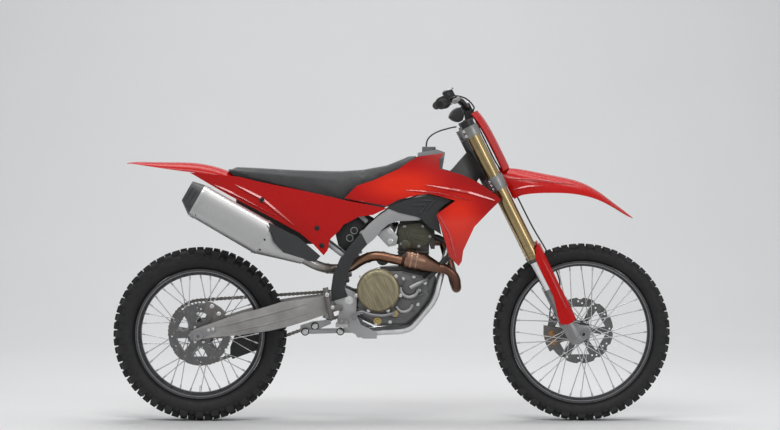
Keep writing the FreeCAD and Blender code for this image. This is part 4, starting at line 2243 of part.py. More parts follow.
def check_and_write():
    """Stop at any failed object, then write one file for each sub-part."""
    doc.recompute()
    for item in doc.Objects:
        if "Invalid" in item.State or "Error" in item.State:
            raise RuntimeError(f"{item.Name} failed: {item.State}")
    for label, item in subparts.items():
        if item.Shape.isNull() or not item.Shape.isValid():
            raise RuntimeError(f"{label} has no valid shape")
        if not item.Shape.Solids:
            raise RuntimeError(f"{label} holds no solid")
    os.makedirs("parts", exist_ok=True)
    for label, item in subparts.items():
        item.Shape.exportStep(f"parts/{label}.step")
        print(f"{label}: {len(item.Shape.Solids)} solid, volume {item.Shape.Volume:.0f}")


build()
check_and_write()
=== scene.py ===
"""A motocross bike in a plain studio: tread, cushions, chain, hoses and finishes on the CAD frame."""

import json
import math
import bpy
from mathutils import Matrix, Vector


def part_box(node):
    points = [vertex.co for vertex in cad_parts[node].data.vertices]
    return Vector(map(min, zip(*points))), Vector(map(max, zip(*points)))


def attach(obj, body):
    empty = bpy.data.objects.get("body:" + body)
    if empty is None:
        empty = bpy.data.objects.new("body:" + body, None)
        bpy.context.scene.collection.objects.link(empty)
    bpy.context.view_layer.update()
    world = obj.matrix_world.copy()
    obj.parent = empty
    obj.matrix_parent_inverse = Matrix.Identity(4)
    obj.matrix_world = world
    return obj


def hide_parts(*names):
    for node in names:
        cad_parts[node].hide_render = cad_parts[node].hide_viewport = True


bl_info = {
    "name": "Motocross bike",
    "version": (1, 0, 0),
    "blender": (4, 5, 0),
    "location": "3D View > Sidebar > Bike",
    "description": "Dresses the frame of a motocross bike with its tread, seat, chain, hoses and finishes",
    "category": "Object",
}

import bmesh
import bpy
from mathutils import Matrix, Vector
from mathutils.bvhtree import BVHTree

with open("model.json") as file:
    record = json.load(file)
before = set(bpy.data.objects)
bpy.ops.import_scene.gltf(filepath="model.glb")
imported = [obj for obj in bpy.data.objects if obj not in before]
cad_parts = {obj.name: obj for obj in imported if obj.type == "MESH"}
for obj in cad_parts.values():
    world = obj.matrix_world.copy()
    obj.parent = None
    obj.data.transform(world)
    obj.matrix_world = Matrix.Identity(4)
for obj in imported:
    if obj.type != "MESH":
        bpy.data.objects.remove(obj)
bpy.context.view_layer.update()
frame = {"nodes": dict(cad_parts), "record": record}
NODES = frame["nodes"]
SLOT_OF = {part["node"]: part["material_slot"] for part in frame["record"]["subparts"]}


# Places, worked out from the frame

def middle(node):
    """The middle of a CAD node's box."""
    low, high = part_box(node)
    return (low + high) / 2


REAR = middle("rear_axle")
FRONT = middle("front_axle")
GROUND = min(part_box("rear_tyre")[0].z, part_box("front_tyre")[0].z)
AXLE_HEIGHT = 0.340
ORIGIN = Vector((REAR.x, 0, REAR.z - AXLE_HEIGHT))
RAKE = math.radians(26.6)
RIGHT = Vector((0, -1, 0))


def at(x, y, z):
    """A point given ahead of the rear axle, to the left, and above the rear tyre's foot."""
    return ORIGIN + Vector((x, y, z))


def route(points):
    """Points given as for at, along a line."""
    return [at(*point) for point in points]


def on_fork(u, y, w):
    """A point given across and along the fork from the front axle."""
    sine, cosine = math.sin(RAKE), math.cos(RAKE)
    return Vector((FRONT.x + u * cosine - w * sine, y, FRONT.z + u * sine + w * cosine))


FORK_UP = Vector((-math.sin(RAKE), 0, math.cos(RAKE)))
FORK_AHEAD = Vector((math.cos(RAKE), 0, math.sin(RAKE)))


# What a user may change

class BikeSizes(bpy.types.PropertyGroup):
    """Sizes of the pieces that are added to the frame."""

    lug_pitches: bpy.props.IntProperty(
        name="Lug pitches", description="Rows of lugs round each tyre", default=32, min=20, max=60)
    seat_puff: bpy.props.FloatProperty(
        name="Cushion puff", description="How far the seat's cover may swell",
        default=0.005, unit="LENGTH")
    hose_diameter: bpy.props.FloatProperty(
        name="Hose diameter", description="Diameter of the brake and vent hoses",
        default=0.006, unit="LENGTH")
    edge_round: bpy.props.FloatProperty(
        name="Edge round", description="Radius on the edges of machined metal",
        default=0.0008, unit="LENGTH")


class BikeColours(bpy.types.PropertyGroup):
    """Colours of the bike's main finishes."""

    body: bpy.props.FloatVectorProperty(
        name="Bodywork", description="Glossy bodywork plastic",
        subtype="COLOR", default=(0.54, 0.003, 0.002))
    seat: bpy.props.FloatVectorProperty(
        name="Saddle", description="Saddle cover",
        subtype="COLOR", default=(0.055, 0.057, 0.058))
    plastic: bpy.props.FloatVectorProperty(
        name="Black plastic", description="Unpainted mouldings",
        subtype="COLOR", default=(0.016, 0.017, 0.018))
    gold: bpy.props.FloatVectorProperty(
        name="Fork tubes", description="Anodised outer tubes",
        subtype="COLOR", default=(0.33, 0.25, 0.125))
    cover: bpy.props.FloatVectorProperty(
        name="Engine cover", description="Coated clutch cover",
        subtype="COLOR", default=(0.30, 0.265, 0.17))
    header: bpy.props.FloatVectorProperty(
        name="Header", description="Heat-tinted steel near the head",
        subtype="COLOR", default=(0.21, 0.105, 0.066))
    floor: bpy.props.FloatVectorProperty(
        name="Floor", description="Studio floor and background",
        subtype="COLOR", default=(0.80, 0.80, 0.80))


# Materials

class NodeWork:
    """A node tree under construction."""

    def __init__(self, tree):
        self.tree = tree

    def join(self, source, target):
        """A link between two sockets."""
        self.tree.links.new(source, target)

    def feed(self, target, value):
        """An input's link to a socket, or its plain value."""
        if isinstance(value, bpy.types.NodeSocket):
            self.join(value, target)
        else:
            target.default_value = value

    def add(self, kind, inputs=None, **settings):
        """A new node with its settings and its inputs."""
        node = self.tree.nodes.new(kind)
        for key, value in settings.items():
            setattr(node, key, value)
        for key, value in (inputs or {}).items():
            self.feed(node.inputs[key], value)
        return node

    def result(self, kind, inputs=None, output=0, **settings):
        """One output of a new node."""
        return self.add(kind, inputs, **settings).outputs[output]

    def calc(self, operation, *values):
        """The result of a sum on sockets and numbers."""
        return self.result("ShaderNodeMath", dict(enumerate(values)), operation=operation)


def toned(colour, share):
    """A colour made darker or lighter."""
    return tuple(min(1.0, c * share) for c in colour)


class Shader(NodeWork):
    """A Principled material under construction."""

    def __init__(self, name, colour, roughness, metal=0.0):
        self.material = bpy.data.materials.new(name)
        self.material.use_nodes = True
        super().__init__(self.material.node_tree)
        self.finish = self.tree.nodes["Principled BSDF"].inputs
        self.place = self.result("ShaderNodeTexCoord", output="Object")
        self.colour = colour
        self.give("Base Color", (*colour, 1))
        self.give("Roughness", roughness)
        self.give("Metallic", metal)

    def give(self, key, value):
        """A property of the finish, from a socket or a plain value."""
        self.feed(self.finish[key], value)

    def mapped(self, scale=(1, 1, 1), rotation=(0, 0, 0), vector=None):
        """The piece's own coordinates, or a vector, scaled and turned."""
        inputs = {"Vector": vector or self.place, "Scale": scale, "Rotation": rotation}
        return self.result("ShaderNodeMapping", inputs)

    def noise(self, scale, detail=3.0, rough=0.5, vector=None):
        """A noise pattern's strength."""
        inputs = {"Vector": vector or self.place, "Scale": scale, "Detail": detail, "Roughness": rough}
        return self.result("ShaderNodeTexNoise", inputs, "Fac")

    def wave(self, scale, direction, vector=None):
        """A band pattern's strength."""
        inputs = {"Vector": vector or self.place, "Scale": scale}
        return self.result("ShaderNodeTexWave", inputs, "Fac", bands_direction=direction)

    def cells(self, scale):
        """The distance to a cell pattern's points."""
        return self.result("ShaderNodeTexVoronoi", {"Vector": self.place, "Scale": scale}, "Distance")

    def near(self, centre, reach):
        """How near a place is to a centre: 1 there, and 0 at its reach along each axis."""
        apart = self.result("ShaderNodeVectorMath", {0: self.place, 1: centre}, operation="SUBTRACT")
        share = self.result("ShaderNodeVectorMath", {0: apart, 1: reach}, operation="DIVIDE")
        return self.result("ShaderNodeTexGradient", {"Vector": share}, "Fac", gradient_type="SPHERICAL")

    def along(self, axis):
        """The place along one axis."""
        return self.result("ShaderNodeSeparateXYZ", {"Vector": self.place}, axis)

    def spread(self, strength, low=0.0, high=1.0, start=0.0, end=1.0):
        """A strength from start to end, brought to the range from low to high."""
        inputs = {"Value": strength, "From Min": start, "From Max": end, "To Min": low, "To Max": high}
        return self.result("ShaderNodeMapRange", inputs, "Result")

    def ramp(self, strength, stops):
        """Colours along a pattern's strength."""
        node = self.add("ShaderNodeValToRGB", {"Fac": strength})
        ramp = node.color_ramp
        while len(ramp.elements) < len(stops):
            ramp.elements.new(0.5)
        for element, (place, colour) in zip(ramp.elements, stops):
            element.position = place
            element.color = (*colour, 1)
        return node.outputs["Color"]

    def shade(self, strength, low, high):
        """The base colour darkened and lightened by a pattern."""
        stops = [(0.25, toned(self.colour, low)), (0.75, toned(self.colour, high))]
        self.give("Base Color", self.ramp(strength, stops))

    def rough(self, strength, low, high):
        """Roughness varied by a pattern."""
        self.give("Roughness", self.spread(strength, low, high))

    def bump(self, strength, depth, before=None):
        """A bump from a pattern, on top of the one before."""
        inputs = {"Height": strength, "Distance": depth}
        if before is not None:
            inputs["Normal"] = before
        normal = self.result("ShaderNodeBump", inputs, "Normal")
        self.give("Normal", normal)
        return normal

    def coat(self, weight, roughness):
        """A clear coat."""
        self.give("Coat Weight", weight)
        self.give("Coat Roughness", roughness)


def gloss_plastic(name, colour, gloss=0.16):
    """Moulded bodywork with a faint ripple under its gloss."""
    s = Shader(name, colour, 0.30)
    s.coat(gloss * 1.4, 0.06)
    s.give("Specular IOR Level", gloss)
    s.shade(s.noise(4.0, 2), 0.92, 1.06)
    s.rough(s.noise(60, 4), 0.22, 0.32)
    s.bump(s.noise(220, 2), 0.00006)
    return s.material


# The shrouds' painted highlights, each a centre with its reach along each axis; away from them the red is
# darkened as painted shade
SHROUD_PAINTED_HIGHLIGHTS = [((0.790, 0, 0.925), (0.26, 2.0, 0.105)), ((1.010, 0, 0.800), (0.13, 2.0, 0.16))]
# The mesh's two slants in degrees, and the heights where it starts and is whole
MESH_TURNS = (38, -52)
MESH_START = 0.875
MESH_WHOLE = 0.780


def meshed_plastic(name, colour):
    """Bodywork plastic with two painted highlights and painted shade away from them, and a fine pale mesh
    towards its lower end.
    """
    s = Shader(name, colour, 0.28)
    s.coat(0.22, 0.06)
    s.give("Specular IOR Level", 0.16)
    slants = [s.mapped(rotation=(0, math.radians(turn), 0)) for turn in MESH_TURNS]
    mesh = s.calc("MAXIMUM", *[s.wave(42, "X", slant) for slant in slants])
    fade = s.spread(s.along("Z"), start=at(0, 0, MESH_START).z, end=at(0, 0, MESH_WHOLE).z)
    lines = s.ramp(s.calc("MULTIPLY", mesh, fade), [(0.55, (0, 0, 0)), (1.0, (0.8, 0.8, 0.8))])
    # Painted highlight and painted shade: the red lightens near each centre and darkens away from them
    painted_highlight = s.calc("MAXIMUM", *[s.near(at(*centre), reach) for centre, reach in SHROUD_PAINTED_HIGHLIGHTS])
    red, green, blue = colour
    bright = (min(1.0, red * 1.55), green + 0.022, blue + 0.002)
    pale = (min(1.0, red * 1.40), green + 0.075, blue + 0.060)
    tone = s.ramp(painted_highlight, [(0.0, toned(colour, 0.72)), (0.30, colour), (0.75, bright)])
    inputs = {"Factor": lines, 6: tone, 7: (*pale, 1)}
    s.give("Base Color", s.result("ShaderNodeMix", inputs, 2, data_type="RGBA"))
    return s.material


def grained_plastic(name, colour, roughness=0.5):
    """Unpainted plastic with a fine grain."""
    s = Shader(name, colour, roughness)
    s.shade(s.noise(7, 3), 0.8, 1.25)
    s.rough(s.noise(90, 4), roughness - 0.08, roughness + 0.12)
    s.bump(s.cells(1400), 0.00012)
    return s.material


def cast_metal(name, colour, roughness=0.45, metal=0.85):
    """Cast or blasted light alloy."""
    s = Shader(name, colour, roughness, metal)
    s.shade(s.noise(14, 5, 0.6), 0.72, 1.12)
    s.rough(s.noise(120, 5, 0.65), roughness - 0.1, roughness + 0.15)
    s.bump(s.noise(700, 3, 0.7), 0.00018)
    return s.material


def frame_metal(name, colour):
    """Cast frame metal, with painted shade darkening it round the steering head."""
    s = Shader(name, colour, 0.42, 0.8)
    # Painted shade: the colour darkens ahead, towards the steering head
    ahead = s.spread(s.along("X"), start=at(0.84, 0, 0).x, end=at(0.96, 0, 0).x)
    s.give("Base Color", s.ramp(ahead, [(0.0, colour), (1.0, toned(colour, 0.22))]))
    s.rough(s.noise(120, 5, 0.65), 0.34, 0.56)
    s.bump(s.noise(700, 3, 0.7), 0.00015)
    return s.material


def brushed_metal(name, colour, roughness=0.3, direction=(1, 60, 60)):
    """Drawn or brushed metal with fine lines."""
    s = Shader(name, colour, roughness, 1.0)
    lines = s.noise(30, 3, 0.6, s.mapped(scale=direction))
    s.shade(lines, 0.82, 1.1)
    s.rough(lines, roughness - 0.08, roughness + 0.12)
    s.bump(lines, 0.00005)
    return s.material


def streaked_metal(name, colour):
    """Coated casting with slanting streaks on its face."""
    s = Shader(name, colour, 0.42, 0.7)
    slant = s.mapped(rotation=(0, math.radians(24), 0))
    lines = s.noise(14, 3, 0.6, s.mapped(scale=(9, 2, 1), vector=slant))
    s.shade(lines, 0.55, 1.18)
    s.rough(lines, 0.32, 0.52)
    s.bump(s.noise(700, 3, 0.7), 0.00018)
    return s.material


def painted_metal(name, colour, roughness=0.35, metal=0.35):
    """Satin paint or anodising on metal."""
    s = Shader(name, colour, roughness, metal)
    s.shade(s.noise(20, 3), 0.85, 1.15)
    s.rough(s.noise(60, 3), roughness - 0.06, roughness + 0.08)
    return s.material


def tyre_rubber(name, colour):
    """Soft tyre rubber, dull with a trace of dust on its tread."""
    s = Shader(name, colour, 0.62)
    s.shade(s.noise(22, 5, 0.65), 0.6, 1.5)
    s.rough(s.noise(70, 4), 0.5, 0.78)
    s.bump(s.noise(450, 4, 0.7), 0.0003)
    s.give("Specular IOR Level", 0.4)
    return s.material


def smooth_rubber(name, colour):
    """Moulded rubber of hoses and ducts."""
    s = Shader(name, colour, 0.5)
    s.shade(s.noise(30, 3), 0.75, 1.3)
    s.rough(s.noise(120, 3), 0.42, 0.6)
    s.bump(s.noise(600, 2), 0.00008)
    return s.material


def grip_cover(name, colour):
    """The seat's cover with its fine raised gripping pattern."""
    s = Shader(name, colour, 0.72)
    s.give("Sheen Weight", 0.25)
    s.give("Sheen Roughness", 0.5)
    s.shade(s.noise(9, 4, 0.6), 0.85, 1.2)
    s.rough(s.noise(200, 3), 0.62, 0.82)
    grain = s.bump(s.noise(900, 2), 0.00015)
    s.bump(s.cells(420), 0.0004, grain)
    return s.material


def header_steel(name, colour):
    """Header pipe, tinted by heat near the head and grey towards the silencer."""
    s = Shader(name, colour, 0.3, 1.0)
    blotched = s.calc("MULTIPLY_ADD", s.noise(16, 4, 0.6), 0.12, s.along("X"))
    ahead = s.spread(blotched, start=at(0.50, 0, 0).x, end=at(1.02, 0, 0).x)
    stops = [
        (0.0, (0.30, 0.29, 0.28)), (0.16, (0.24, 0.20, 0.175)), (0.30, (0.22, 0.135, 0.095)),
        (0.55, colour), (0.75, (0.25, 0.15, 0.105)), (1.0, (0.13, 0.065, 0.045)),
    ]
    s.give("Base Color", s.ramp(ahead, stops))
    s.rough(s.noise(90, 5, 0.6), 0.2, 0.42)
    s.bump(s.noise(400, 3), 0.00008)
    return s.material


def disc_steel(name, colour):
    """Ground brake steel, a little blotched."""
    s = Shader(name, colour, 0.3, 1.0)
    s.shade(s.noise(60, 4, 0.6), 0.75, 1.1)
    s.rough(s.noise(300, 3), 0.22, 0.4)
    s.bump(s.noise(900, 2), 0.00005)
    return s.material


def radiator_core(name, colour):
    """Rows of the radiator's core, with painted shade in the bands of fins between them."""
    s = Shader(name, colour, 0.45, 0.7)
    rows = s.wave(26, "Z")
    # Painted shade: the wave's bands darken the colour between the rows, and its bump gives them relief
    s.shade(rows, 0.25, 1.1)
    s.bump(rows, 0.001)
    return s.material


def make_materials(colours):
    """Every finish, by the record's material slot."""
    return {
        "tyre": tyre_rubber("Tyre rubber", (0.0095, 0.0095, 0.0102)),
        "black_rim": painted_metal("Black rim", (0.075, 0.075, 0.078), 0.28),
        "spoke_steel": brushed_metal("Spoke steel", (0.50, 0.50, 0.51), 0.25, (40, 40, 40)),
        "hub_metal": cast_metal("Hub metal", (0.06, 0.06, 0.062), 0.38),
        "disc_steel": disc_steel("Disc steel", (0.155, 0.155, 0.155)),
        "sprocket_metal": cast_metal("Sprocket metal", (0.36, 0.36, 0.37), 0.4),
        "axle_steel": brushed_metal("Axle steel", (0.30, 0.30, 0.31), 0.3, (40, 40, 40)),
        "frame_metal": frame_metal("Frame metal", (0.36, 0.36, 0.365)),
        "bright_tube": cast_metal("Bright tube", (0.72, 0.72, 0.73), 0.30, 0.85),
        "subframe_metal": cast_metal("Subframe metal", (0.36, 0.36, 0.37), 0.45),
        "swingarm_metal": cast_metal("Swingarm metal", (0.33, 0.325, 0.315), 0.36, 0.8),
        "black_plastic": grained_plastic("Black plastic", colours.plastic, 0.46),
        "spring_steel": painted_metal("Spring paint", (0.42, 0.42, 0.42), 0.35),
        "engine_metal": cast_metal("Engine metal", (0.14, 0.14, 0.14), 0.42, 0.8),
        "cover_metal": streaked_metal("Cover coating", colours.cover),
        "cylinder_metal": cast_metal("Cylinder metal", (0.10, 0.10, 0.095), 0.5, 0.75),
        "header_steel": header_steel("Header steel", colours.header),
        "silencer_metal": brushed_metal("Silencer metal", (0.50, 0.50, 0.50), 0.38, (60, 60, 2)),
        "dark_cap": grained_plastic("Dark cap", (0.045, 0.047, 0.05), 0.42),
        "red_plastic": gloss_plastic("Red bodywork", colours.body),
        "red_gloss": gloss_plastic("Red creases", colours.body, 0.7),
        "red_mesh": meshed_plastic("Red shrouds", colours.body),
        "seat_cover": grip_cover("Saddle cover", colours.seat),
        "tank_plastic": grained_plastic("Tank cover", (0.17, 0.175, 0.18), 0.48),
        "radiator_metal": radiator_core("Radiator core", (0.20, 0.20, 0.205)),
        "peg_steel": cast_metal("Peg steel", (0.42, 0.42, 0.42), 0.4),
        "control_metal": cast_metal("Forged lever", (0.25, 0.25, 0.26), 0.4),
        "caliper_metal": painted_metal("Caliper coating", (0.16, 0.15, 0.14), 0.34),
        "chain_steel": brushed_metal("Chain steel", (0.20, 0.19, 0.175), 0.38, (30, 30, 30)),
        "gold_tube": painted_metal("Gold tube", colours.gold, 0.20, 0.95),
        "fork_metal": cast_metal("Fork lug metal", (0.26, 0.26, 0.265), 0.34, 0.85),
        "clamp_metal": cast_metal("Clamp metal", (0.27, 0.268, 0.265), 0.34, 0.85),
        "pad_cover": grip_cover("Pad cover", (0.020, 0.020, 0.021)),
        "black_bar": painted_metal("Black bar", (0.018, 0.018, 0.018), 0.3),
        "grip_rubber": smooth_rubber("Grip rubber", (0.020, 0.020, 0.020)),
        "black_control": painted_metal("Black control", (0.025, 0.025, 0.025), 0.38),
        "cable_rubber": smooth_rubber("Hose rubber", (0.018, 0.018, 0.018)),
        "duct_rubber": smooth_rubber("Duct rubber", (0.05, 0.05, 0.05)),
        "guide_plastic": grained_plastic("Guide plastic", (0.02, 0.02, 0.02), 0.5),
        "bolt_steel": brushed_metal("Bolt steel", (0.62, 0.62, 0.62), 0.24, (50, 50, 50)),
        "black_bolt": painted_metal("Black bolt", (0.012, 0.012, 0.012), 0.35),
        "bronze": cast_metal("Bronze", (0.36, 0.19, 0.09), 0.35, 0.9),
        "pale_copper": brushed_metal("Pale copper", (0.40, 0.25, 0.18), 0.2, (30, 30, 30)),
        "chrome": brushed_metal("Chrome", (0.80, 0.80, 0.81), 0.14, (40, 40, 40)),
        "head_cover": cast_metal("Head cover coating", (0.095, 0.092, 0.068), 0.42, 0.75),
        "gold_cap": cast_metal("Gold cap", (0.50, 0.38, 0.16), 0.34, 0.9),
        "pale_ring": cast_metal("Pale ring", (0.42, 0.43, 0.42), 0.4, 0.6),
    }


MATERIALS = {}


# Helpers that make and place meshes

def linked(name, data):
    """A new object in the scene."""
    obj = bpy.data.objects.new(name, data)
    bpy.context.scene.collection.objects.link(obj)
    return obj


def evaluated(obj):
    """A plain mesh of an object after its modifiers."""
    bpy.context.view_layer.update()
    depsgraph = bpy.context.evaluated_depsgraph_get()
    return bpy.data.meshes.new_from_object(obj.evaluated_get(depsgraph))


def taken(obj):
    """The plain mesh of a working object, which goes."""
    mesh = evaluated(obj)
    bpy.data.objects.remove(obj)
    return mesh


def shown(name, mesh, body, finish, replaces=(), smooth=35):
    """A finished piece in the scene, riding on its body."""
    obj = linked(name, mesh)
    mesh.materials.clear()
    mesh.materials.append(MATERIALS[finish])
    if smooth:
        soften(obj, smooth)
    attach(obj, body)
    if replaces:
        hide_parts(*replaces)
    return obj


def soften(obj, degrees):
    """Smooth shading that keeps edges sharper than an angle."""
    mesh = obj.data
    mesh.polygons.foreach_set("use_smooth", [True] * len(mesh.polygons))
    work = bmesh.new()
    work.from_mesh(mesh)
    limit = math.radians(degrees)
    for edge in work.edges:
        edge.smooth = len(edge.link_faces) == 2 and edge.calc_face_angle(math.pi) < limit
    work.to_mesh(mesh)
    work.free()


def mesh_of(name, rows, faces):
    """A mesh from rows of points and its faces, with its normals outward."""
    mesh = bpy.data.meshes.new(name)
    mesh.from_pydata([tuple(point) for row in rows for point in row], [], faces)
    work = bmesh.new()
    work.from_mesh(mesh)
    bmesh.ops.remove_doubles(work, verts=work.verts, dist=1e-6)
    bmesh.ops.recalc_face_normals(work, faces=work.faces)
    work.to_mesh(mesh)
    work.free()
    return mesh


def loops(rows, around=False):
    """Faces between rows of points that each close on themselves, and back to the first row if around."""
    count = len(rows)
    width = len(rows[0])
    faces = []
    for row in range(count if around else count - 1):
        here = row * width
        there = (row + 1) % count * width
        for i in range(width):
            k = (i + 1) % width
            faces.append((here + i, here + k, there + k, there + i))
    return faces


def tube(name, rows):
    """A closed mesh through rows of points, with a face over its first row and its last."""
    width = len(rows[0])
    last = (len(rows) - 1) * width
    ends = [tuple(range(width - 1, -1, -1)), tuple(range(last, last + width))]
    return mesh_of(name, rows, loops(rows) + ends)


def joined(name, meshes):
    """One mesh from several."""
    work = bmesh.new()
    for mesh in meshes:
        work.from_mesh(mesh)
    result = bpy.data.meshes.new(name)
    work.to_mesh(result)
    work.free()
    return result


def moved(mesh, offset, turn=None):
    """A mesh turned about the origin, then moved."""
    matrix = Matrix.Translation(offset)
    if turn is not None:
        matrix = matrix @ turn
    mesh.transform(matrix)
    return mesh


def lathe(name, profile, steps, centre):
    """A closed section of places across and radii, turned about the wheel's line."""
    rows = []
    for step in range(steps):
        angle = 2 * math.pi * step / steps
        rows.append([
            centre + Vector((radius * math.cos(angle), across, radius * math.sin(angle)))
            for across, radius in profile
        ])
    return mesh_of(name, rows, loops(rows, True))


def axis_turn(direction):
    """The turn that brings the Z axis to a direction."""
    return Vector((0, 0, 1)).rotation_difference(Vector(direction)).to_matrix().to_4x4()


def round_post(name, profile, start=(0, 0, 0), direction=(0, 0, 1), steps=24):
    """A closed turned post: heights along its axis with radii, from a start."""
    angles = [2 * math.pi * step / steps for step in range(steps)]
    rows = []
    for height, radius in profile:
        rows.append([(radius * math.cos(angle), radius * math.sin(angle), height) for angle in angles])
    return moved(tube(name, rows), start, axis_turn(direction))


def prism(name, outline, low, high):
    """A flat outline of points carried sideways from one place across to another."""
    return tube(name, [[(point.x, across, point.z) for point in outline] for across in (low, high)])


def round_edges(obj, width, degrees):
    """A small round on the edges sharper than an angle."""
    edge = obj.modifiers.new("Edge", "BEVEL")
    edge.width = width
    edge.segments = 2
    edge.limit_method = "ANGLE"
    edge.angle_limit = math.radians(degrees)


def eased(mesh, width):
    """A mesh with its edges rounded."""
    obj = linked("Work", mesh)
    round_edges(obj, width, 35)
    return taken(obj)


def side_plate(name, outline, low, high, width):
    """A plate between two places across, with an outline of places ahead and above, and its edges rounded."""
    return eased(prism(name, [at(x, 0, z) for x, z in outline], low, high), width)


def side_rib(start, end, width, low, high):
    """A straight raised rib between two places ahead and above."""
    first, last = at(start[0], 0, start[1]), at(end[0], 0, end[1])
    along = (last - first).normalized()
    across = Vector((-along.z, 0, along.x)) * width / 2
    corners = [first - across, last - across, last + across, first + across]
    return eased(prism("Rib", corners, low, high), width * 0.25)


def skin(name, rows):
    """An open sheet of faces through rows of points."""
    width = len(rows[0])
    faces = []
    for row in range(len(rows) - 1):
        for i in range(width - 1):
            here = row * width + i
            faces.append((here, here + 1, here + width + 1, here + width))
    mesh = bpy.data.meshes.new(name)
    mesh.from_pydata([tuple(point) for row in rows for point in row], [], faces)
    return mesh


def spline_curve(name, points, radius):
    """A curve object of one smooth spline through control points, with a round section."""
    curve = bpy.data.curves.new(name, "CURVE")
    curve.dimensions = "3D"
    curve.bevel_depth = radius
    curve.bevel_resolution = 4
    curve.use_fill_caps = True
    spline = curve.splines.new("NURBS")
    spline.points.add(len(points) - 1)
    for point, place in zip(spline.points, points):
        point.co = (*place, 1)
    spline.order_u = 3
    spline.use_endpoint_u = True
    spline.resolution_u = 8
    return linked(name, curve)


def pipe(name, points, radius):
    """The mesh of a round pipe along a smooth curve."""
    return taken(spline_curve(name, points, radius))


# Places on the frame's surfaces

SURFACES = {}


def surface(node):
    """A tree of a CAD node's faces, for finding places on it."""
    if node not in SURFACES:
        mesh = NODES[node].data
        faces = [tuple(polygon.vertices) for polygon in mesh.polygons]
        SURFACES[node] = BVHTree.FromPolygons([vertex.co.copy() for vertex in mesh.vertices], faces)
    return SURFACES[node]


def touch(nodes, start, way):
    """The first place on the nodes along a way, with the normal there that faces back."""
    nearest = None
    for node in nodes:
        place, normal, _, gap = surface(node).ray_cast(start, way)
        if place is not None and (nearest is None or gap < nearest[2]):
            nearest = (place, normal if normal.dot(way) < 0 else -normal, gap)
    if nearest is None:
        raise RuntimeError(f"no surface of {nodes} at {tuple(start - ORIGIN)}")
    return nearest[0], nearest[1]


def on_side(nodes, x, z, side):
    """The place on the nodes that shows from one side, ahead of the rear axle and above the ground."""
    return touch(nodes, at(x, side * 0.6, z), Vector((0, -side, 0)))


def right_spots(nodes, places):
    """Places on the nodes' right side, each with the way out."""
    return [(on_side(nodes, x, z, -1)[0], RIGHT) for x, z in places]


# How far the edge of a raised line lies under the surface
SINK = -0.0006


def path_steps(samples, power):
    """Each place on a surface with its normal, the way along it, and how full a raised line is there."""
    last = len(samples) - 1
    for number, (place, normal) in enumerate(samples):
        before = samples[max(0, number - 1)][0]
        after = samples[min(last, number + 1)][0]
        share = math.sin(math.pi * (number + 0.5) / (last + 1)) ** power
        yield place, normal, (after - before).normalized(), share


def strip(name, samples, width, height, taper=True):
    """A raised strip along places on a surface, each given with its normal."""
    rows = []
    for place, normal, along, share in path_steps(samples, 0.35 if taper else 0):
        half = along.cross(normal).normalized() * width / 2 * share
        rise = normal * height * share
        sink = normal * SINK
        crest = half * 0.35
        rows.append([place - half + sink, place - crest + rise, place + crest + rise, place + half + sink])
    return tube(name, rows)


def ridge(name, samples, width, height):
    """A crease along places on a surface, with a facet that faces up and out above its crest."""
    rows = []
    for place, normal, along, share in path_steps(samples, 0.4):
        up = along.cross(normal).normalized()
        if up.z < 0:
            up = -up
        wide = up * width * share
        rise = normal * height * share
        sink = normal * SINK
        rows.append([
            place + wide * 0.5 + sink, place - wide * 0.10 + rise,
            place - wide * 0.22 + rise, place - wide * 0.5 + sink,
        ])
    return tube(name, rows)


def side_line(nodes, points, side, steps=14):
    """Places on the nodes along a line of points given ahead and above."""
    samples = []
    for (x0, z0), (x1, z1) in zip(points, points[1:]):
        for step in range(steps):
            share = step / steps
            samples.append(on_side(nodes, x0 + (x1 - x0) * share, z0 + (z1 - z0) * share, side))
    samples.append(on_side(nodes, *points[-1], side))
    return samples


def band(name, nodes, centre, axis, width, height, steps=48, reach=0.16):
    """A band that hugs the nodes round an axis."""
    axis = Vector(axis).normalized()
    first = axis.orthogonal().normalized()
    second = axis.cross(first)
    rows = []
    for step in range(steps):
        angle = 2 * math.pi * step / steps
        out = first * math.cos(angle) + second * math.sin(angle)
        row = []
        for shift in (-1, 1):
            start = centre + axis * width / 2 * shift
            place, normal = touch(nodes, start + out * reach, -out)
            row += [place - out * 0.0008, place + out * height][::-shift]
        rows.append(row)
    return mesh_of(name, rows, loops(rows, True))


def arc(centre, radius, start, end, steps=12):
    """Places along an arc seen from the side, in degrees from ahead."""
    points = []
    for step in range(steps + 1):
        angle = math.radians(start + (end - start) * step / steps)
        points.append(centre + Vector((radius * math.cos(angle), 0, radius * math.sin(angle))))
    return points


# Geometry Nodes that repeat a form

class Tree(NodeWork):
    """A Geometry Nodes tree under construction."""

    def __init__(self, name, inputs=()):
        super().__init__(bpy.data.node_groups.new(name, "GeometryNodeTree"))
        for label, kind in (("Geometry", "NodeSocketGeometry"), *inputs):
            self.tree.interface.new_socket(name=label, in_out="INPUT", socket_type=kind)
        self.tree.interface.new_socket(name="Geometry", in_out="OUTPUT", socket_type="NodeSocketGeometry")
        self.start = self.tree.nodes.new("NodeGroupInput").outputs
        self.end = self.tree.nodes.new("NodeGroupOutput").inputs[0]

    def close(self, instances):
        """Realize Instances and Set Material end the tree."""
        real = self.result("GeometryNodeRealizeInstances", {0: instances})
        paint = self.result("GeometryNodeSetMaterial", {0: real, "Material": self.start["Material"]})
        self.join(paint, self.end)
        return self.tree


def ring_tree():
    """Copies of a form turned round a wheel's centre."""
    inputs = [("Count", "NodeSocketInt"), ("Centre", "NodeSocketVector"), ("Material", "NodeSocketMaterial")]
    t = Tree("Ring of copies", inputs)
    points = t.result("GeometryNodePoints", {"Count": t.start["Count"], "Position": t.start["Centre"]})
    share = t.calc("DIVIDE", t.result("GeometryNodeInputIndex"), t.start["Count"])
    turn = t.result("ShaderNodeCombineXYZ", {"Y": t.calc("MULTIPLY", share, 2 * math.pi)})
    inputs = {"Points": points, "Instance": t.start["Geometry"], "Rotation": turn}
    return t.close(t.result("GeometryNodeInstanceOnPoints", inputs))


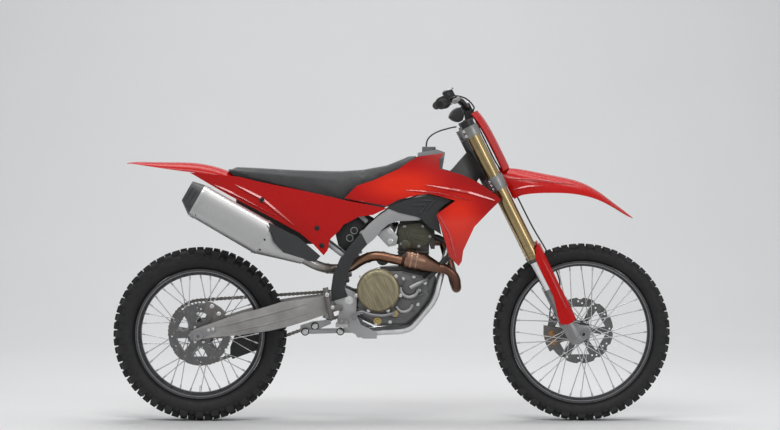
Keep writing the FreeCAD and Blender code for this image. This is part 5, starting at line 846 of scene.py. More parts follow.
def place_tree():
    """Copies of a form at a mesh's points, each along the point's own aim."""
    t = Tree("Copies at places", [("Form", "NodeSocketObject"), ("Material", "NodeSocketMaterial")])
    aim, along = [
        t.result("GeometryNodeInputNamedAttribute", {"Name": name}, "Attribute", data_type="FLOAT_VECTOR")
        for name in ("aim", "along")
    ]
    align = "FunctionNodeAlignRotationToVector"
    upright = t.result(align, {"Vector": aim}, axis="Z")
    turned = t.result(align, {"Rotation": upright, "Vector": along}, axis="X", pivot_axis="Z")
    form = t.result("GeometryNodeObjectInfo", {"Object": t.start["Form"]}, "Geometry")
    inputs = {"Points": t.start["Geometry"], "Instance": form, "Rotation": turned}
    return t.close(t.result("GeometryNodeInstanceOnPoints", inputs))


def soft_tree():
    """Smooth shading between faces that meet at a small angle."""
    t = Tree("Soft edges")
    faces = t.result("GeometryNodeSetShadeSmooth", {"Geometry": t.start[0]})
    angle = t.result("GeometryNodeInputMeshEdgeAngle", output="Unsigned Angle")
    small = t.result("FunctionNodeCompare", {"A": angle, "B": math.radians(32)}, operation="LESS_THAN")
    inputs = {"Geometry": faces, "Shade Smooth": small}
    t.join(t.result("GeometryNodeSetShadeSmooth", inputs, domain="EDGE"), t.end)
    return t.tree


TREES = {}


def repeated(mesh, tree, **inputs):
    """A mesh after a tree of copies, with the tree's named inputs."""
    obj = linked("Repeat", mesh)
    modifier = obj.modifiers.new("Copies", "NODES")
    modifier.node_group = TREES[tree]
    for item in TREES[tree].interface.items_tree:
        if item.in_out == "INPUT" and item.name in inputs:
            modifier[item.identifier] = inputs[item.name]
    return taken(obj)


def ringed(mesh, count, centre, finish):
    """Copies of a mesh round a wheel's centre."""
    return repeated(mesh, "ring", Count=count, Centre=tuple(centre), Material=MATERIALS[finish])


def placed(form, places, finish):
    """Copies of a mesh at places, each given with its aim and its run."""
    points = bpy.data.meshes.new("Places")
    points.from_pydata([tuple(place) for place, aim, along in places], [], [])
    for name, which in (("aim", 1), ("along", 2)):
        values = points.attributes.new(name, "FLOAT_VECTOR", "POINT")
        for number, entry in enumerate(places):
            values.data[number].vector = entry[which]
    holder = linked("Form", form)
    result = repeated(points, "places", Form=holder, Material=MATERIALS[finish])
    bpy.data.objects.remove(holder)
    return result


def bolt_form(radius, height, socket=True):
    """A flanged bolt head, with its socket or its six flats, standing on the origin."""
    flange = [(0, radius), (height * 0.25, radius), (height * 0.35, radius * 0.86)]
    head = [(height * 0.3, radius * 0.72), (height * 0.9, radius * 0.72), (height, radius * 0.62)]
    pieces = [round_post("Flange", flange, steps=16), round_post("Head", head, steps=16 if socket else 6)]
    if socket:
        lip = [(height * 0.99, radius * 0.42), (height * 1.02, radius * 0.42)]
        pieces.append(round_post("Lip", lip, steps=6))
    return joined("Bolt", pieces)


def bolts(name, body, places, radius, height, finish, socket=True):
    """A set of bolts, each given by its place and its aim."""
    entries = [(Vector(p), Vector(a).normalized(), Vector(a).orthogonal().normalized()) for p, a in places]
    return shown(name, placed(bolt_form(radius, height, socket), entries, finish), body, finish)


# Wheels

# The tyre's half section: across as a share of its half width, out as a share of the tyre's depth on the rim
TYRE_SECTION = [
    (0.40, 0.010), (0.52, 0.05), (0.66, 0.10), (0.70, 0.125), (0.73, 0.13), (0.84, 0.24), (0.90, 0.36),
    (0.925, 0.47), (0.925, 0.54), (0.90, 0.60), (0.82, 0.70), (0.66, 0.76), (0.44, 0.795), (0.20, 0.815),
    (0, 0.82),
]
# The middle lugs: ahead in pitches, across in half widths, length, skew, and foot and top in the tyre's depth
MIDDLE_LUGS = [(0.0, 0.20, 0.95, 0.0, 0.80, 1.0), (0.50, 0.46, 1.05, 0.0016, 0.76, 0.985)]
LUG_LENGTH = 0.40
LUG_WIDTH = 0.30
LUG_TAPER = 0.84
SHOULDER = 0.70
DISC_BOLT_CIRCLE = 0.62
SPROCKET_BOLT_CIRCLE = 0.60
RIM_LIP = [(-0.0012, 0.0112), (0.0012, 0.0106), (0.0012, 0.0086), (-0.0012, 0.0080)]
VALVE = [(0, 0.004), (0.022, 0.004), (0.023, 0.0032), (0.032, 0.0032)]


def knob(corners, low, high, taper):
    """One lug: four corners round the tyre, from its foot to a smaller top."""
    centre = sum(corners, Vector()) / 4
    brim = high - (high - low) * 0.10
    rows = []
    for height, share in ((low, 1), (brim, taper + 0.08), (high, taper)):
        ring = [centre + (corner - centre) * share for corner in corners]
        rows.append([(point.x, point.y, height) for point in ring])
    return tube("Knob", rows)


def wrapped(mesh, radius):
    """A flat patch of tread, drawn along X with its height in Z, bent round the wheel."""
    for vertex in mesh.vertices:
        angle = vertex.co.x / radius
        reach = vertex.co.z
        vertex.co = Vector((reach * math.sin(angle), vertex.co.y, reach * math.cos(angle)))
    return mesh


def box_corners(x, y, length, width, skew=0.0):
    """Four corners of a lug's foot, with its sides set ahead of each other by a skew."""
    return [
        Vector((x + ahead * length / 2 + across * skew, y + across * width / 2, 0))
        for ahead, across in ((-1, -1), (1, -1), (1, 1), (-1, 1))
    ]


def tyre(name, node, rim_node, body, centre, pitches):
    """A tyre's carcass with its bead and ridges, and its lugs in staggered rows."""
    low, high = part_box(node)
    rim_low, rim_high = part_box(rim_node)
    half = (high.y - low.y) / 2
    reach = (high.z - low.z) / 2
    seat = (rim_high.z - rim_low.z) / 2
    depth = reach - seat
    profile = [(across * half, seat + out * depth) for across, out in TYRE_SECTION]
    profile += [(-across, out) for across, out in reversed(profile[:-1])]
    carcass = lathe(name, profile, 128, centre)
    step = 2 * math.pi * reach / pitches
    length = step * LUG_LENGTH
    shoulder = seat + SHOULDER * depth
    lugs = []
    for x, y, long, skew, foot, top in MIDDLE_LUGS:
        for side in (1, -1):
            corners = box_corners(x * step, side * y * half, length * long, LUG_WIDTH * half, side * skew)
            lugs.append(wrapped(knob(corners, seat + foot * depth, seat + top * depth, LUG_TAPER), reach))
    for side in (-1, 1):
        corners = box_corners(0, side * 0.80 * half, length * 1.25, LUG_WIDTH * half, 0.001 * side)
        lug = knob(corners, shoulder - 0.10 * depth, seat + depth * 0.90, LUG_TAPER)
        for vertex in lug.vertices:
            vertex.co.z -= (abs(vertex.co.y) - 0.66 * half) * 0.55
            vertex.co.y += side * (vertex.co.z - shoulder) * 0.20
        lugs.append(wrapped(lug, reach))
        corners = box_corners(0.5 * step, side * 0.90 * half, length * 0.7, 0.10 * half)
        lugs.append(wrapped(knob(corners, seat + depth * 0.46, seat + depth * 0.66, 0.8), reach))
    tread = ringed(joined("Pitch", lugs), pitches, centre, "tyre")
    obj = shown(name, joined(name, [carcass, tread]), body, "tyre", (node,), 40)
    widest = half * 0.999
    for vertex in obj.data.vertices:
        across = vertex.co.y - centre.y
        if abs(across) > widest:
            vertex.co.y = centre.y + math.copysign(widest, across)


def bolt_ring(name, body, wheel, circle, face, side, radius, height):
    """Six bolts in a circle round a wheel's centre, on a face at a place across."""
    head = moved(bolt_form(radius, height), Vector((circle, face, 0)), axis_turn((0, side, 0)))
    shown(name, ringed(head, 6, wheel, "bolt_steel"), body, "bolt_steel")


class BIKE_OT_wheels(bpy.types.Operator):
    """Tyres with their lugs, and the fasteners of the rims, discs and sprocket"""

    bl_idname = "bike.wheels"
    bl_label = "Wheels"

    def execute(self, context):
        """Make the wheels' pieces."""
        pitches = context.scene.bike_sizes.lug_pitches
        for end, body, centre, side in (("rear", "rear_wheel", REAR, -1), ("front", "front_wheel", FRONT, 1)):
            wheel = Vector((centre.x, 0, centre.z))
            tyre(f"{end}_tyre_tread", f"{end}_tyre", f"{end}_rim", body, wheel, pitches)
            hub_low, hub_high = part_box(f"{end}_hub")
            disc_low, disc_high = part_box(f"{end}_disc")
            face = disc_high.y if side > 0 else disc_low.y
            circle = (hub_high.z - hub_low.z) / 2 * DISC_BOLT_CIRCLE
            bolt_ring(f"{end}_disc_bolts", body, wheel, circle, face, side, 0.0055, 0.0030)
            rim_low, rim_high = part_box(f"{end}_rim")
            reach = (rim_high.z - rim_low.z) / 2
            lips = []
            for face, out in ((rim_low.y, -1), (rim_high.y, 1)):
                lip = [(face + out * across, reach - gap) for across, gap in RIM_LIP]
                lips.append(lathe("Lip", lip, 128, wheel))
            shown(f"{end}_rim_lips", joined("Lips", lips), body, "axle_steel")
            stem = round_post("Valve", VALVE, wheel - Vector((0, 0, reach - 0.019)), steps=12)
            shown(f"{end}_valve", stem, body, "chrome")
        low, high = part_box("rear_sprocket")
        circle = (high.z - low.z) / 2 * SPROCKET_BOLT_CIRCLE
        wheel = Vector((REAR.x, 0, REAR.z))
        bolt_ring("sprocket_bolts", "rear_wheel", wheel, circle, high.y, 1, 0.0075, 0.005)
        return {"FINISHED"}


# Chain

CHAIN_PITCH = 0.015875
REAR_TEETH = 50
FRONT_TEETH = 13
FRONT_SPROCKET = (0.650, 0, 0.476)
PLATE_HEIGHT = 0.0142
# Places across as shares of the chain's half width
INNER_PLATE = (0.46, 0.64)
OUTER_PLATE = (0.68, 0.88)
ROLLER = (0.45, 0.0051, 12)
PIN = (0.99, 0.0024, 8)


def chain_path(front):
    """The places of the chain's pins round both sprockets."""
    rear_radius = CHAIN_PITCH / (2 * math.sin(math.pi / REAR_TEETH))
    front_radius = CHAIN_PITCH / (2 * math.sin(math.pi / FRONT_TEETH))
    rear = Vector((REAR.x, 0, REAR.z))
    span = front - rear
    tilt = math.atan2(span.z, span.x)
    lean = math.acos((rear_radius - front_radius) / span.length)
    run = math.sqrt(span.length ** 2 - (rear_radius - front_radius) ** 2)
    front_arc = 2 * lean * front_radius
    rear_arc = (2 * math.pi - 2 * lean) * rear_radius
    whole = 2 * run + front_arc + rear_arc
    links = 2 * round(whole / CHAIN_PITCH / 2)

    def on(centre, radius, angle):
        return centre + Vector((math.cos(angle), 0, math.sin(angle))) * radius

    def point(way):
        if way < front_arc:
            return on(front, front_radius, tilt + lean - way / front_radius)
        way -= front_arc
        if way < run:
            return on(front, front_radius, tilt - lean).lerp(on(rear, rear_radius, tilt - lean), way / run)
        way -= run
        if way < rear_arc:
            return on(rear, rear_radius, tilt - lean - way / rear_radius)
        way -= rear_arc
        return on(rear, rear_radius, tilt + lean).lerp(on(front, front_radius, tilt + lean), way / run)

    return [point(whole * number / links) for number in range(links)]


def link_plate(y_low, y_high):
    """One chain plate, waisted between its two round ends."""
    outline = []
    for end, start in ((CHAIN_PITCH / 2, -80), (-CHAIN_PITCH / 2, 100)):
        for step in range(6):
            angle = math.radians(start + step * 32)
            round_end = Vector((math.cos(angle), 0, math.sin(angle))) * PLATE_HEIGHT / 2
            outline.append(Vector((end, 0, 0)) + round_end)
        outline.append(Vector((end * 0.05, 0, math.copysign(PLATE_HEIGHT * 0.34, end))))
    return prism("Plate", outline, y_low, y_high)


def link_form(name, plate, bar, half):
    """One chain link: a plate on each side, and a roller or a pin at each end."""
    near, far = plate
    share, radius, steps = bar
    pieces = [link_plate(half * near, half * far), link_plate(-half * far, -half * near)]
    for end in (CHAIN_PITCH / 2, -CHAIN_PITCH / 2):
        ends = [(-half * share, radius), (half * share, radius)]
        pieces.append(round_post("Bar", ends, (end, 0, 0), (0, 1, 0), steps))
    return joined(name, pieces)


def chain_links():
    """Inner and outer links and their rollers, along the chain's path."""
    low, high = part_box("chain")
    line = (low.y + high.y) / 2
    half = (high.y - low.y) / 2
    pins = chain_path(at(*FRONT_SPROCKET))
    inner = link_form("InnerLink", INNER_PLATE, ROLLER, half)
    outer = link_form("OuterLink", OUTER_PLATE, PIN, half)
    meshes = []
    for first, form in enumerate((inner, outer)):
        places = []
        for number in range(first, len(pins), 2):
            here, there = pins[number], pins[(number + 1) % len(pins)]
            along = (there - here).normalized()
            aim = Vector((-along.z, 0, along.x))
            if along.cross(Vector((0, 1, 0))).dot(aim) < 0:
                aim = -aim
            centre = (here + there) / 2
            centre.y = line
            places.append((centre, aim, along))
        meshes.append(placed(form, places, "chain_steel"))
    return joined("chain_links", meshes)


class BIKE_OT_chain(bpy.types.Operator):
    """The chain's links in place of the CAD's band"""

    bl_idname = "bike.chain"
    bl_label = "Chain"

    def execute(self, context):
        """Make the chain."""
        shown("chain_links", chain_links(), "chassis", "chain_steel", ("chain",), 30)
        return {"FINISHED"}


# Padded pieces

PRESSURE = 4.0
SWELL_FRAMES = 20


def settled(obj):
    """The evaluated mesh takes the place of an object's modifiers."""
    mesh = evaluated(obj)
    obj.modifiers.clear()
    obj.data = mesh


def swollen(obj, cap):
    """A cushion blown up by a little pressure, as far as a cap."""
    rest = [vertex.co.copy() for vertex in obj.data.vertices]
    cloth = obj.modifiers.new("Cloth", "CLOTH")
    cloth.settings.use_pressure = True
    cloth.settings.uniform_pressure_force = PRESSURE
    cloth.settings.effector_weights.gravity = 0
    cloth.settings.quality = 5
    scene = bpy.context.scene
    for number in range(1, SWELL_FRAMES + 1):
        scene.frame_set(number)
    settled(obj)
    scene.frame_set(1)
    for vertex, start in zip(obj.data.vertices, rest):
        way = vertex.co - start
        if way.length > cap:
            vertex.co = start + way.normalized() * cap


def puffed(node, name, inset, cap, voxel):
    """A CAD solid's copy remeshed, swollen as a cushion, and smoothed."""
    mesh = NODES[node].data.copy()
    work = bmesh.new()
    work.from_mesh(mesh)
    bmesh.ops.remove_doubles(work, verts=work.verts, dist=1e-5)
    work.to_mesh(mesh)
    work.free()
    obj = linked(name, mesh)
    remesh = obj.modifiers.new("Remesh", "REMESH")
    remesh.mode = "VOXEL"
    remesh.voxel_size = voxel
    shrink = obj.modifiers.new("Shrink", "DISPLACE")
    shrink.strength = -inset
    shrink.mid_level = 0
    smooth = obj.modifiers.new("Smooth", "SMOOTH")
    smooth.iterations = 2
    settled(obj)
    swollen(obj, cap)
    fine = obj.modifiers.new("Fine", "SUBSURF")
    fine.levels = 1
    fine.render_levels = 1
    return taken(obj)


class BIKE_OT_pads(bpy.types.Operator):
    """The seat and the handlebar's pad as swollen, covered foam"""

    bl_idname = "bike.pads"
    bl_label = "Padded pieces"

    def execute(self, context):
        """Make the seat and the pad."""
        cap = context.scene.bike_sizes.seat_puff
        seat = puffed("seat", "seat_cushion", inset=0.0035, cap=cap, voxel=0.006)
        shown("seat_cushion", seat, "chassis", "seat_cover", ("seat",), 60)
        pad = puffed("bar_pad", "bar_pad_cushion", inset=0.003, cap=0.004, voxel=0.004)
        shown("bar_pad_cushion", pad, "steering", "pad_cover", ("bar_pad",), 60)
        return {"FINISHED"}


# Hoses

# Ahead of, across and along the fork: the brake hose's start and its straight stub in metres, and its route
# in units of half the fork legs' spread
HOSE_START = (-0.0513, -0.2440, 1.0640)
HOSE_STUB = 0.0231
HOSE_UNIT = 0.105
HOSE_ROUTE = [
    (-0.34, -1.81, 10.02), (-0.06, -1.47, 9.83), (0.08, -1.10, 9.62), (0.15, -0.68, 9.40),
    (0.17, -0.28, 9.26), (0.15, 0.09, 9.25), (0.08, 0.40, 9.17), (0.03, 0.55, 8.92),
    (0.01, 0.59, 8.58), (0.00, 0.59, 8.20),
    (0.00, 0.60, 7.80), (-0.01, 0.66, 7.42), (0.00, 0.82, 7.05), (0.06, 0.99, 6.66), (0.13, 1.08, 6.20),
    (0.16, 1.12, 5.50), (0.15, 1.10, 4.80), (0.16, 1.08, 4.10), (0.22, 1.05, 3.40), (0.24, 1.02, 2.80),
    (0.22, 0.93, 2.32), (0.16, 0.76, 2.00), (0.06, 0.62, 1.80), (-0.15, 0.60, 1.66), (-0.40, 0.63, 1.48),
    (-0.64, 0.638, 1.23), (-0.81, 0.638, 0.92), (-0.973, 0.638, 0.686),
]
# The vent hose from the tank's cap to the stem: its route in units of the seat's height, its start in metres
VENT_UNIT = 0.970
VENT_START = (0.88605, 0, 1.0726)
VENT_ROUTE = [
    (0.9144, 0, 1.1237), (0.9216, 0.0062, 1.1392), (0.9351, 0.0144, 1.1526), (0.9546, 0.0206, 1.1639),
    (0.9773, 0.0206, 1.1727), (1.0021, 0.0134, 1.1794), (1.0206, 0.0052, 1.1840), (1.0354, 0, 1.1864),
]


def hose(name, points, node, body, diameter):
    """A free hose along its route, in place of its CAD tube."""
    line = taken(spline_curve("Line", points, 0))
    obj = spline_curve(name, points, diameter / 2)
    obj.data.materials.append(MATERIALS["cable_rubber"])
    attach(obj, body)
    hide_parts(node)


class BIKE_OT_hoses(bpy.types.Operator):
    """The front brake's hose and the tank's vent hose"""

    bl_idname = "bike.hoses"
    bl_label = "Hoses"

    def execute(self, context):
        """Make the hoses."""
        diameter = context.scene.bike_sizes.hose_diameter
        u, y, w = HOSE_START
        points = [on_fork(u, y, w), on_fork(u, y + HOSE_STUB, w)]
        points += [on_fork(*(Vector(place) * HOSE_UNIT)) for place in HOSE_ROUTE]
        hose("brake_hose_line", points, "brake_hose", "steering", diameter)
        points = [at(*VENT_START)]
        points += [at(*(Vector(place) * VENT_UNIT)) for place in VENT_ROUTE]
        hose("vent_hose_line", points, "vent_hose", "chassis", diameter)
        return {"FINISHED"}


# Bodywork

# Ahead, above, and how far the head stands off the panel
PANEL_BOLTS = [(0.247, 0.867, 0.005), (0.461, 0.758, 0), (0.480, 0.690, 0)]
# Each crease's line, its width and its height
PANEL_CREASES = [
    ([(0.142, 0.925), (0.245, 0.872), (0.372, 0.768)], 0.013, 0.0075),
    ([(0.060, 0.925), (0.170, 0.874), (0.300, 0.806)], 0.012, 0.0065),
]
SHROUD_CREASES = [
    ([(0.880, 0.925), (1.045, 0.897), (1.150, 0.866)], 0.013, 0.0065),
    ([(0.930, 0.815), (0.972, 0.740), (1.000, 0.640)], 0.010, 0.005),
    ([(0.800, 0.905), (0.930, 0.896), (1.060, 0.866)], 0.010, 0.005),
]
FENDER_CREASES = [
    ([(1.200, 0.951), (1.330, 0.943), (1.460, 0.925)], 0.012, 0.006),
    ([(1.220, 0.905), (1.280, 0.918), (1.340, 0.922)], 0.010, 0.004),
]
LOUVRES = [
    [(0.862, 0.866), (0.918, 0.866), (0.884, 0.828)], [(0.835, 0.848), (0.886, 0.848), (0.856, 0.812)],
]
SEAT_BASE = [
    (0.112, 0.984), (0.160, 0.975), (0.250, 0.952), (0.420, 0.925), (0.560, 0.900),
    (0.560, 0.880), (0.420, 0.895), (0.250, 0.925), (0.190, 0.938), (0.140, 0.952),
]


class BIKE_OT_bodywork(bpy.types.Operator):
    """Bolts, creases and louvres on the bodywork, and the seat's base"""

    bl_idname = "bike.bodywork"
    bl_label = "Bodywork"

    def execute(self, context):
        """Make the bodywork's details."""
        heads = []
        creases = []
        creases_ahead = []
        slots = []
        for side, name in ((-1, "right"), (1, "left")):
            panel = [f"side_panel_{name}"]
            for x, z, lift in PANEL_BOLTS:
                place, normal = on_side(panel, x, z, side)
                heads.append((place + normal * lift, normal))
            for nodes, table, group in (
                (panel, PANEL_CREASES, creases), ([f"shroud_{name}"], SHROUD_CREASES, creases),
                (["front_fender"], FENDER_CREASES, creases_ahead),
            ):
                for points, width, height in table:
                    group.append(ridge("Crease", side_line(nodes, points, side), width, height))
            for points in LOUVRES:
                line = side_line(["shroud_inserts"], points, side, 6)
                slots.append(strip("Louvre", line, 0.009, 0.005, False))
        bolts("panel_bolts", "chassis", heads, 0.0100, 0.005, "black_bolt")
        shown("panel_creases", joined("Creases", creases), "chassis", "red_gloss")
        shown("insert_louvres", joined("Louvres", slots), "chassis", "dark_cap")
        shown("fender_creases", joined("Creases", creases_ahead), "steering", "red_gloss")
        base = side_plate("SeatBase", SEAT_BASE, -0.066, 0.066, 0.002)
        shown("seat_base", base, "chassis", "black_plastic")
        return {"FINISHED"}


# Engine

CLUTCH = (0.699, 0.517)
CLUTCH_BOLTS = 7
CLUTCH_BOLT_CIRCLE = 0.0875
# Out from the cover's face, with radii
COVER_RING = [(-0.0015, 0.060), (0.0012, 0.061), (0.0012, 0.0655), (-0.0015, 0.0665)]
CASE_BOLTS = [
    (0.796, 0.561), (0.837, 0.568), (0.796, 0.500), (0.856, 0.516), (0.852, 0.462), (0.744, 0.394),
    (0.690, 0.386), (0.634, 0.432), (0.880, 0.545),
]
# A cap's heights with shares of its radius, and each cap's place, radius and number of sides
OIL_CAP = [(0, 1), (0.006, 1), (0.008, 0.85), (0.008, 0.5), (0.013, 0.42)]
OIL_CAPS = [(0.763, 0.427, 0.0145, 6), (0.695, 0.398, 0.016, 28)]
HEAD_COVER = [
    (0.778, 0.756), (0.794, 0.770), (0.861, 0.778), (0.889, 0.756), (0.911, 0.737), (0.911, 0.717),
    (0.883, 0.690), (0.850, 0.673), (0.788, 0.678), (0.772, 0.712),
]
HEAD_RIBS = [
    ((0.800, 0.758), (0.826, 0.692)), ((0.832, 0.742), (0.900, 0.734)), ((0.838, 0.718), (0.892, 0.706)),
    ((0.826, 0.766), (0.868, 0.752)),
]
HEAD_BOLTS = [(0.787, 0.694), (0.800, 0.762), (0.872, 0.764), (0.900, 0.724), (0.856, 0.684)]
HEAD_BOSS = (0.806, -0.064, 0.690)
CASE_RIBS = [
    ((0.792, 0.588), (0.872, 0.566)), ((0.800, 0.488), (0.862, 0.476)), ((0.720, 0.412), (0.800, 0.404)),
    ((0.640, 0.462), (0.672, 0.418)), ((0.792, 0.440), (0.842, 0.428)),
]
AIRBOX_FLANK = [
    (0.523, 0.766), (0.597, 0.805), (0.655, 0.789), (0.651, 0.743), (0.616, 0.684), (0.569, 0.665),
    (0.542, 0.688),
]
AIRBOX_RINGS = [(0.604, 0.746), (0.587, 0.717)]
RING_PROFILE = [(-0.056, 0.0105), (-0.0605, 0.0115), (-0.0605, 0.0140), (-0.056, 0.0150)]
STAY = [(0.690, 0.735), (0.745, 0.765), (0.775, 0.722), (0.768, 0.690), (0.738, 0.684), (0.722, 0.700)]
STAY_BOLTS = [(0.745, 0.706), (0.744, 0.744)]
RIGHT_CASE = ["engine_cases", "engine_covers"]
PUMP_CENTRE = (0.819, -0.1305, 0.526)
PUMP_OUTLET = [(0.822, -0.141, 0.528), (0.845, -0.141, 0.540), (0.868, -0.134, 0.552), (0.886, -0.112, 0.558)]
LOWER_PIPE_CENTRE = (0.798, -0.119, 0.465)
UPPER_HOSE = [
    (0.895, -0.040, 0.720), (0.925, -0.055, 0.722), (0.955, -0.080, 0.706), (0.978, -0.092, 0.700),
    (1.000, -0.096, 0.705),
]
LOWER_HOSE = [
    (0.884, -0.108, 0.560), (0.915, -0.100, 0.585), (0.945, -0.095, 0.620), (0.975, -0.096, 0.650),
    (0.995, -0.098, 0.668),
]
# Each post's heights with radii, its foot and its aim
STARTER_POSTS = [
    ([(0, 0.022), (0.002, 0.026), (0.080, 0.026), (0.084, 0.022)], (0.716, -0.060, 0.636), (0, 1, 0), 32),
    ([(0, 0.030), (0.012, 0.030), (0.013, 0.026), (0.050, 0.026), (0.051, 0.030), (0.062, 0.030)],
     (0.710, 0, 0.770), (0.93, 0, -0.37), 32),
    ([(0, 0.020), (0.010, 0.020), (0.011, 0.008), (0.016, 0.008)], (0.735, -0.026, 0.760), (0, -1, 0), 28),
]


class BIKE_OT_engine(bpy.types.Operator):
    """Bolts, caps, pipes and rings on the engine"""

    bl_idname = "bike.engine"
    bl_label = "Engine"

    def execute(self, context):
        """Make the engine's details."""
        self.cases()
        self.pipes()
        self.head()
        self.surroundings()
        return {"FINISHED"}

    def cases(self):
        """The bolts, caps and ring of the clutch side."""
        x, z = CLUTCH
        circle = []
        for number in range(CLUTCH_BOLTS):
            angle = math.radians(90 + 360 / CLUTCH_BOLTS * number)
            ahead, above = CLUTCH_BOLT_CIRCLE * math.cos(angle), CLUTCH_BOLT_CIRCLE * math.sin(angle)
            circle.append((x + ahead, z + above))
        heads = right_spots(RIGHT_CASE, circle + CASE_BOLTS)
        bolts("case_bolts", "chassis", heads, 0.0072, 0.0085, "chrome")
        caps = []
        for ahead, above, radius, steps in OIL_CAPS:
            place = on_side(RIGHT_CASE, ahead, above, -1)[0] + Vector((0, 0.002, 0))
            cap = [(height, radius * share) for height, share in OIL_CAP]
            caps.append(round_post("Cap", cap, place, RIGHT, steps))
        shown("oil_caps", joined("Caps", caps), "chassis", "gold_cap")
        face = on_side(["engine_covers"], x, z, -1)[0].y
        ring = [(face - out, radius) for out, radius in COVER_RING]
        shown("cover_ring", lathe("Ring", ring, 96, at(x, 0, z)), "chassis", "cover_metal")

    def pipes(self):
        """The coolant pipes and the ribs on the cases."""
        pipes = [
            pipe("Return", arc(at(*PUMP_CENTRE), 0.0345, 175, 350), 0.0072),
            pipe("Outlet", route(PUMP_OUTLET), 0.0085),
            pipe("Lower", arc(at(*LOWER_PIPE_CENTRE), 0.0315, 200, 355), 0.0062),
        ]
        shown("coolant_pipes", joined("Pipes", pipes), "chassis", "frame_metal")
        ribs = [side_rib(start, end, 0.006, -0.1155, -0.111) for start, end in CASE_RIBS]
        shown("case_ribs", joined("Ribs", ribs), "chassis", "engine_metal")

    def head(self):
        """The head's cover with its ribs, boss and bolts."""
        cover = [side_plate("Cover", HEAD_COVER, -0.072, -0.050, 0.003)]
        cover += [side_rib(start, end, 0.007, -0.0765, -0.071) for start, end in HEAD_RIBS]
        boss = [(0, 0.020), (0.010, 0.020), (0.012, 0.017)]
        cover.append(round_post("Boss", boss, at(*HEAD_BOSS), RIGHT, 32))
        shown("head_cover", joined("Cover", cover), "chassis", "head_cover")
        heads = [(at(x, -0.072, z), RIGHT) for x, z in HEAD_BOLTS]
        bolts("head_bolts", "chassis", heads, 0.0062, 0.005, "axle_steel", False)

    def surroundings(self):
        """The starter, the throttle body, the hoses, the airbox's flank and the head's stay."""
        starter = []
        for form, foot, aim, steps in STARTER_POSTS:
            starter.append(round_post("Post", form, at(*foot), aim, steps))
        shown("starter_and_throttle", joined("Starter", starter), "chassis", "engine_metal")
        shown("coolant_hose", pipe("Hose", route(UPPER_HOSE), 0.0125), "chassis", "cable_rubber")
        shown("lower_coolant_hose", pipe("Hose", route(LOWER_HOSE), 0.0115), "chassis", "cable_rubber")
        flank = side_plate("Flank", AIRBOX_FLANK, -0.058, -0.050, 0.002)
        shown("airbox_flank", flank, "chassis", "black_plastic")
        rings = [lathe("Ring", RING_PROFILE, 40, at(x, 0, z)) for x, z in AIRBOX_RINGS]
        shown("airbox_rings", joined("Rings", rings), "chassis", "pale_ring")
        stay = [side_plate("Stay", STAY, -0.0925, -0.0845, 0.0012)]
        for x, z in STAY_BOLTS:
            stay.append(round_post("Post", [(0, 0.009), (0.026, 0.009)], at(x, -0.0605, z), RIGHT, 20))
        shown("head_stay", joined("Stay", stay), "chassis", "frame_metal")
        heads = [(at(x, -0.0925, z), RIGHT) for x, z in STAY_BOLTS]
        bolts("stay_bolts", "chassis", heads, 0.0105, 0.007, "bolt_steel", False)


# Exhaust

CAN_FRONT = (0.257, -0.1602, 0.7197)
CAN_REAR = (-0.002, -0.1664, 0.8682)
RIVETS = [(0.020, 0.862), (-0.006, 0.813), (0.262, 0.717), (0.243, 0.678)]
CAP_RIBS = [
    ((-0.044, 0.868), (-0.012, 0.918)), ((-0.028, 0.862), (0.002, 0.908)), ((-0.046, 0.852), (-0.018, 0.846)),
]
# Each band's share of the way back along the can, and its width
CAN_BANDS = [(0.050, 0.006), (0.930, 0.007), (0.962, 0.005)]
CHAMBER_RINGS = [(0.806, 0.640), (0.826, 0.636), (0.846, 0.632)]
CHAMBER_ACROSS = -0.108
CHAMBER_AXIS = (0.98, 0, -0.20)
# Each collar's place on the header and the pipe's way there
HEADER_COLLARS = [
    ((0.735, -0.099, 0.6405), (-0.99, 0.02, 0.12)), ((0.660, -0.083, 0.641), (-0.93, 0.25, -0.25)),
    ((0.500, -0.075, 0.598), (-0.95, -0.2, 0.1)),
]


class BIKE_OT_exhaust(bpy.types.Operator):
    """Bands, rivets and collars on the exhaust"""

    bl_idname = "bike.exhaust"
    bl_label = "Exhaust"

    def execute(self, context):
        """Make the exhaust's details."""
        front, rear = at(*CAN_FRONT), at(*CAN_REAR)
        axis = rear - front
        can = ["silencer_can"]
        bands = []
        for share, width in CAN_BANDS:
            bands.append(band("Band", can, front.lerp(rear, share), axis, width, 0.0028))
        shown("can_bands", joined("Bands", bands), "chassis", "silencer_metal")
        rivets = [on_side(can, x, z, -1) for x, z in RIVETS]
        bolts("can_rivets", "chassis", rivets, 0.0042, 0.0024, "black_bolt", False)
        header = ["header_pipe"]
        collars = []
        for place, way in HEADER_COLLARS:
            collars.append(band("Collar", header, at(*place), way, 0.007, 0.0016, 32, 0.05))
        shown("header_collars", joined("Collars", collars), "chassis", "header_steel")
        rings = []
        for x, z in CHAMBER_RINGS:
            place = at(x, CHAMBER_ACROSS, z)
            rings.append(band("Band", header, place, CHAMBER_AXIS, 0.006, 0.0025, 40, 0.06))
        shown("chamber_rings", joined("Rings", rings), "chassis", "pale_copper")
        lines = [side_line(["silencer_end_cap"], ends, -1, 10) for ends in CAP_RIBS]
        ribs = [strip("Rib", line, 0.005, 0.003) for line in lines]
        shown("cap_ribs", joined("Ribs", ribs), "chassis", "dark_cap")
        return {"FINISHED"}


# Fork and handlebar

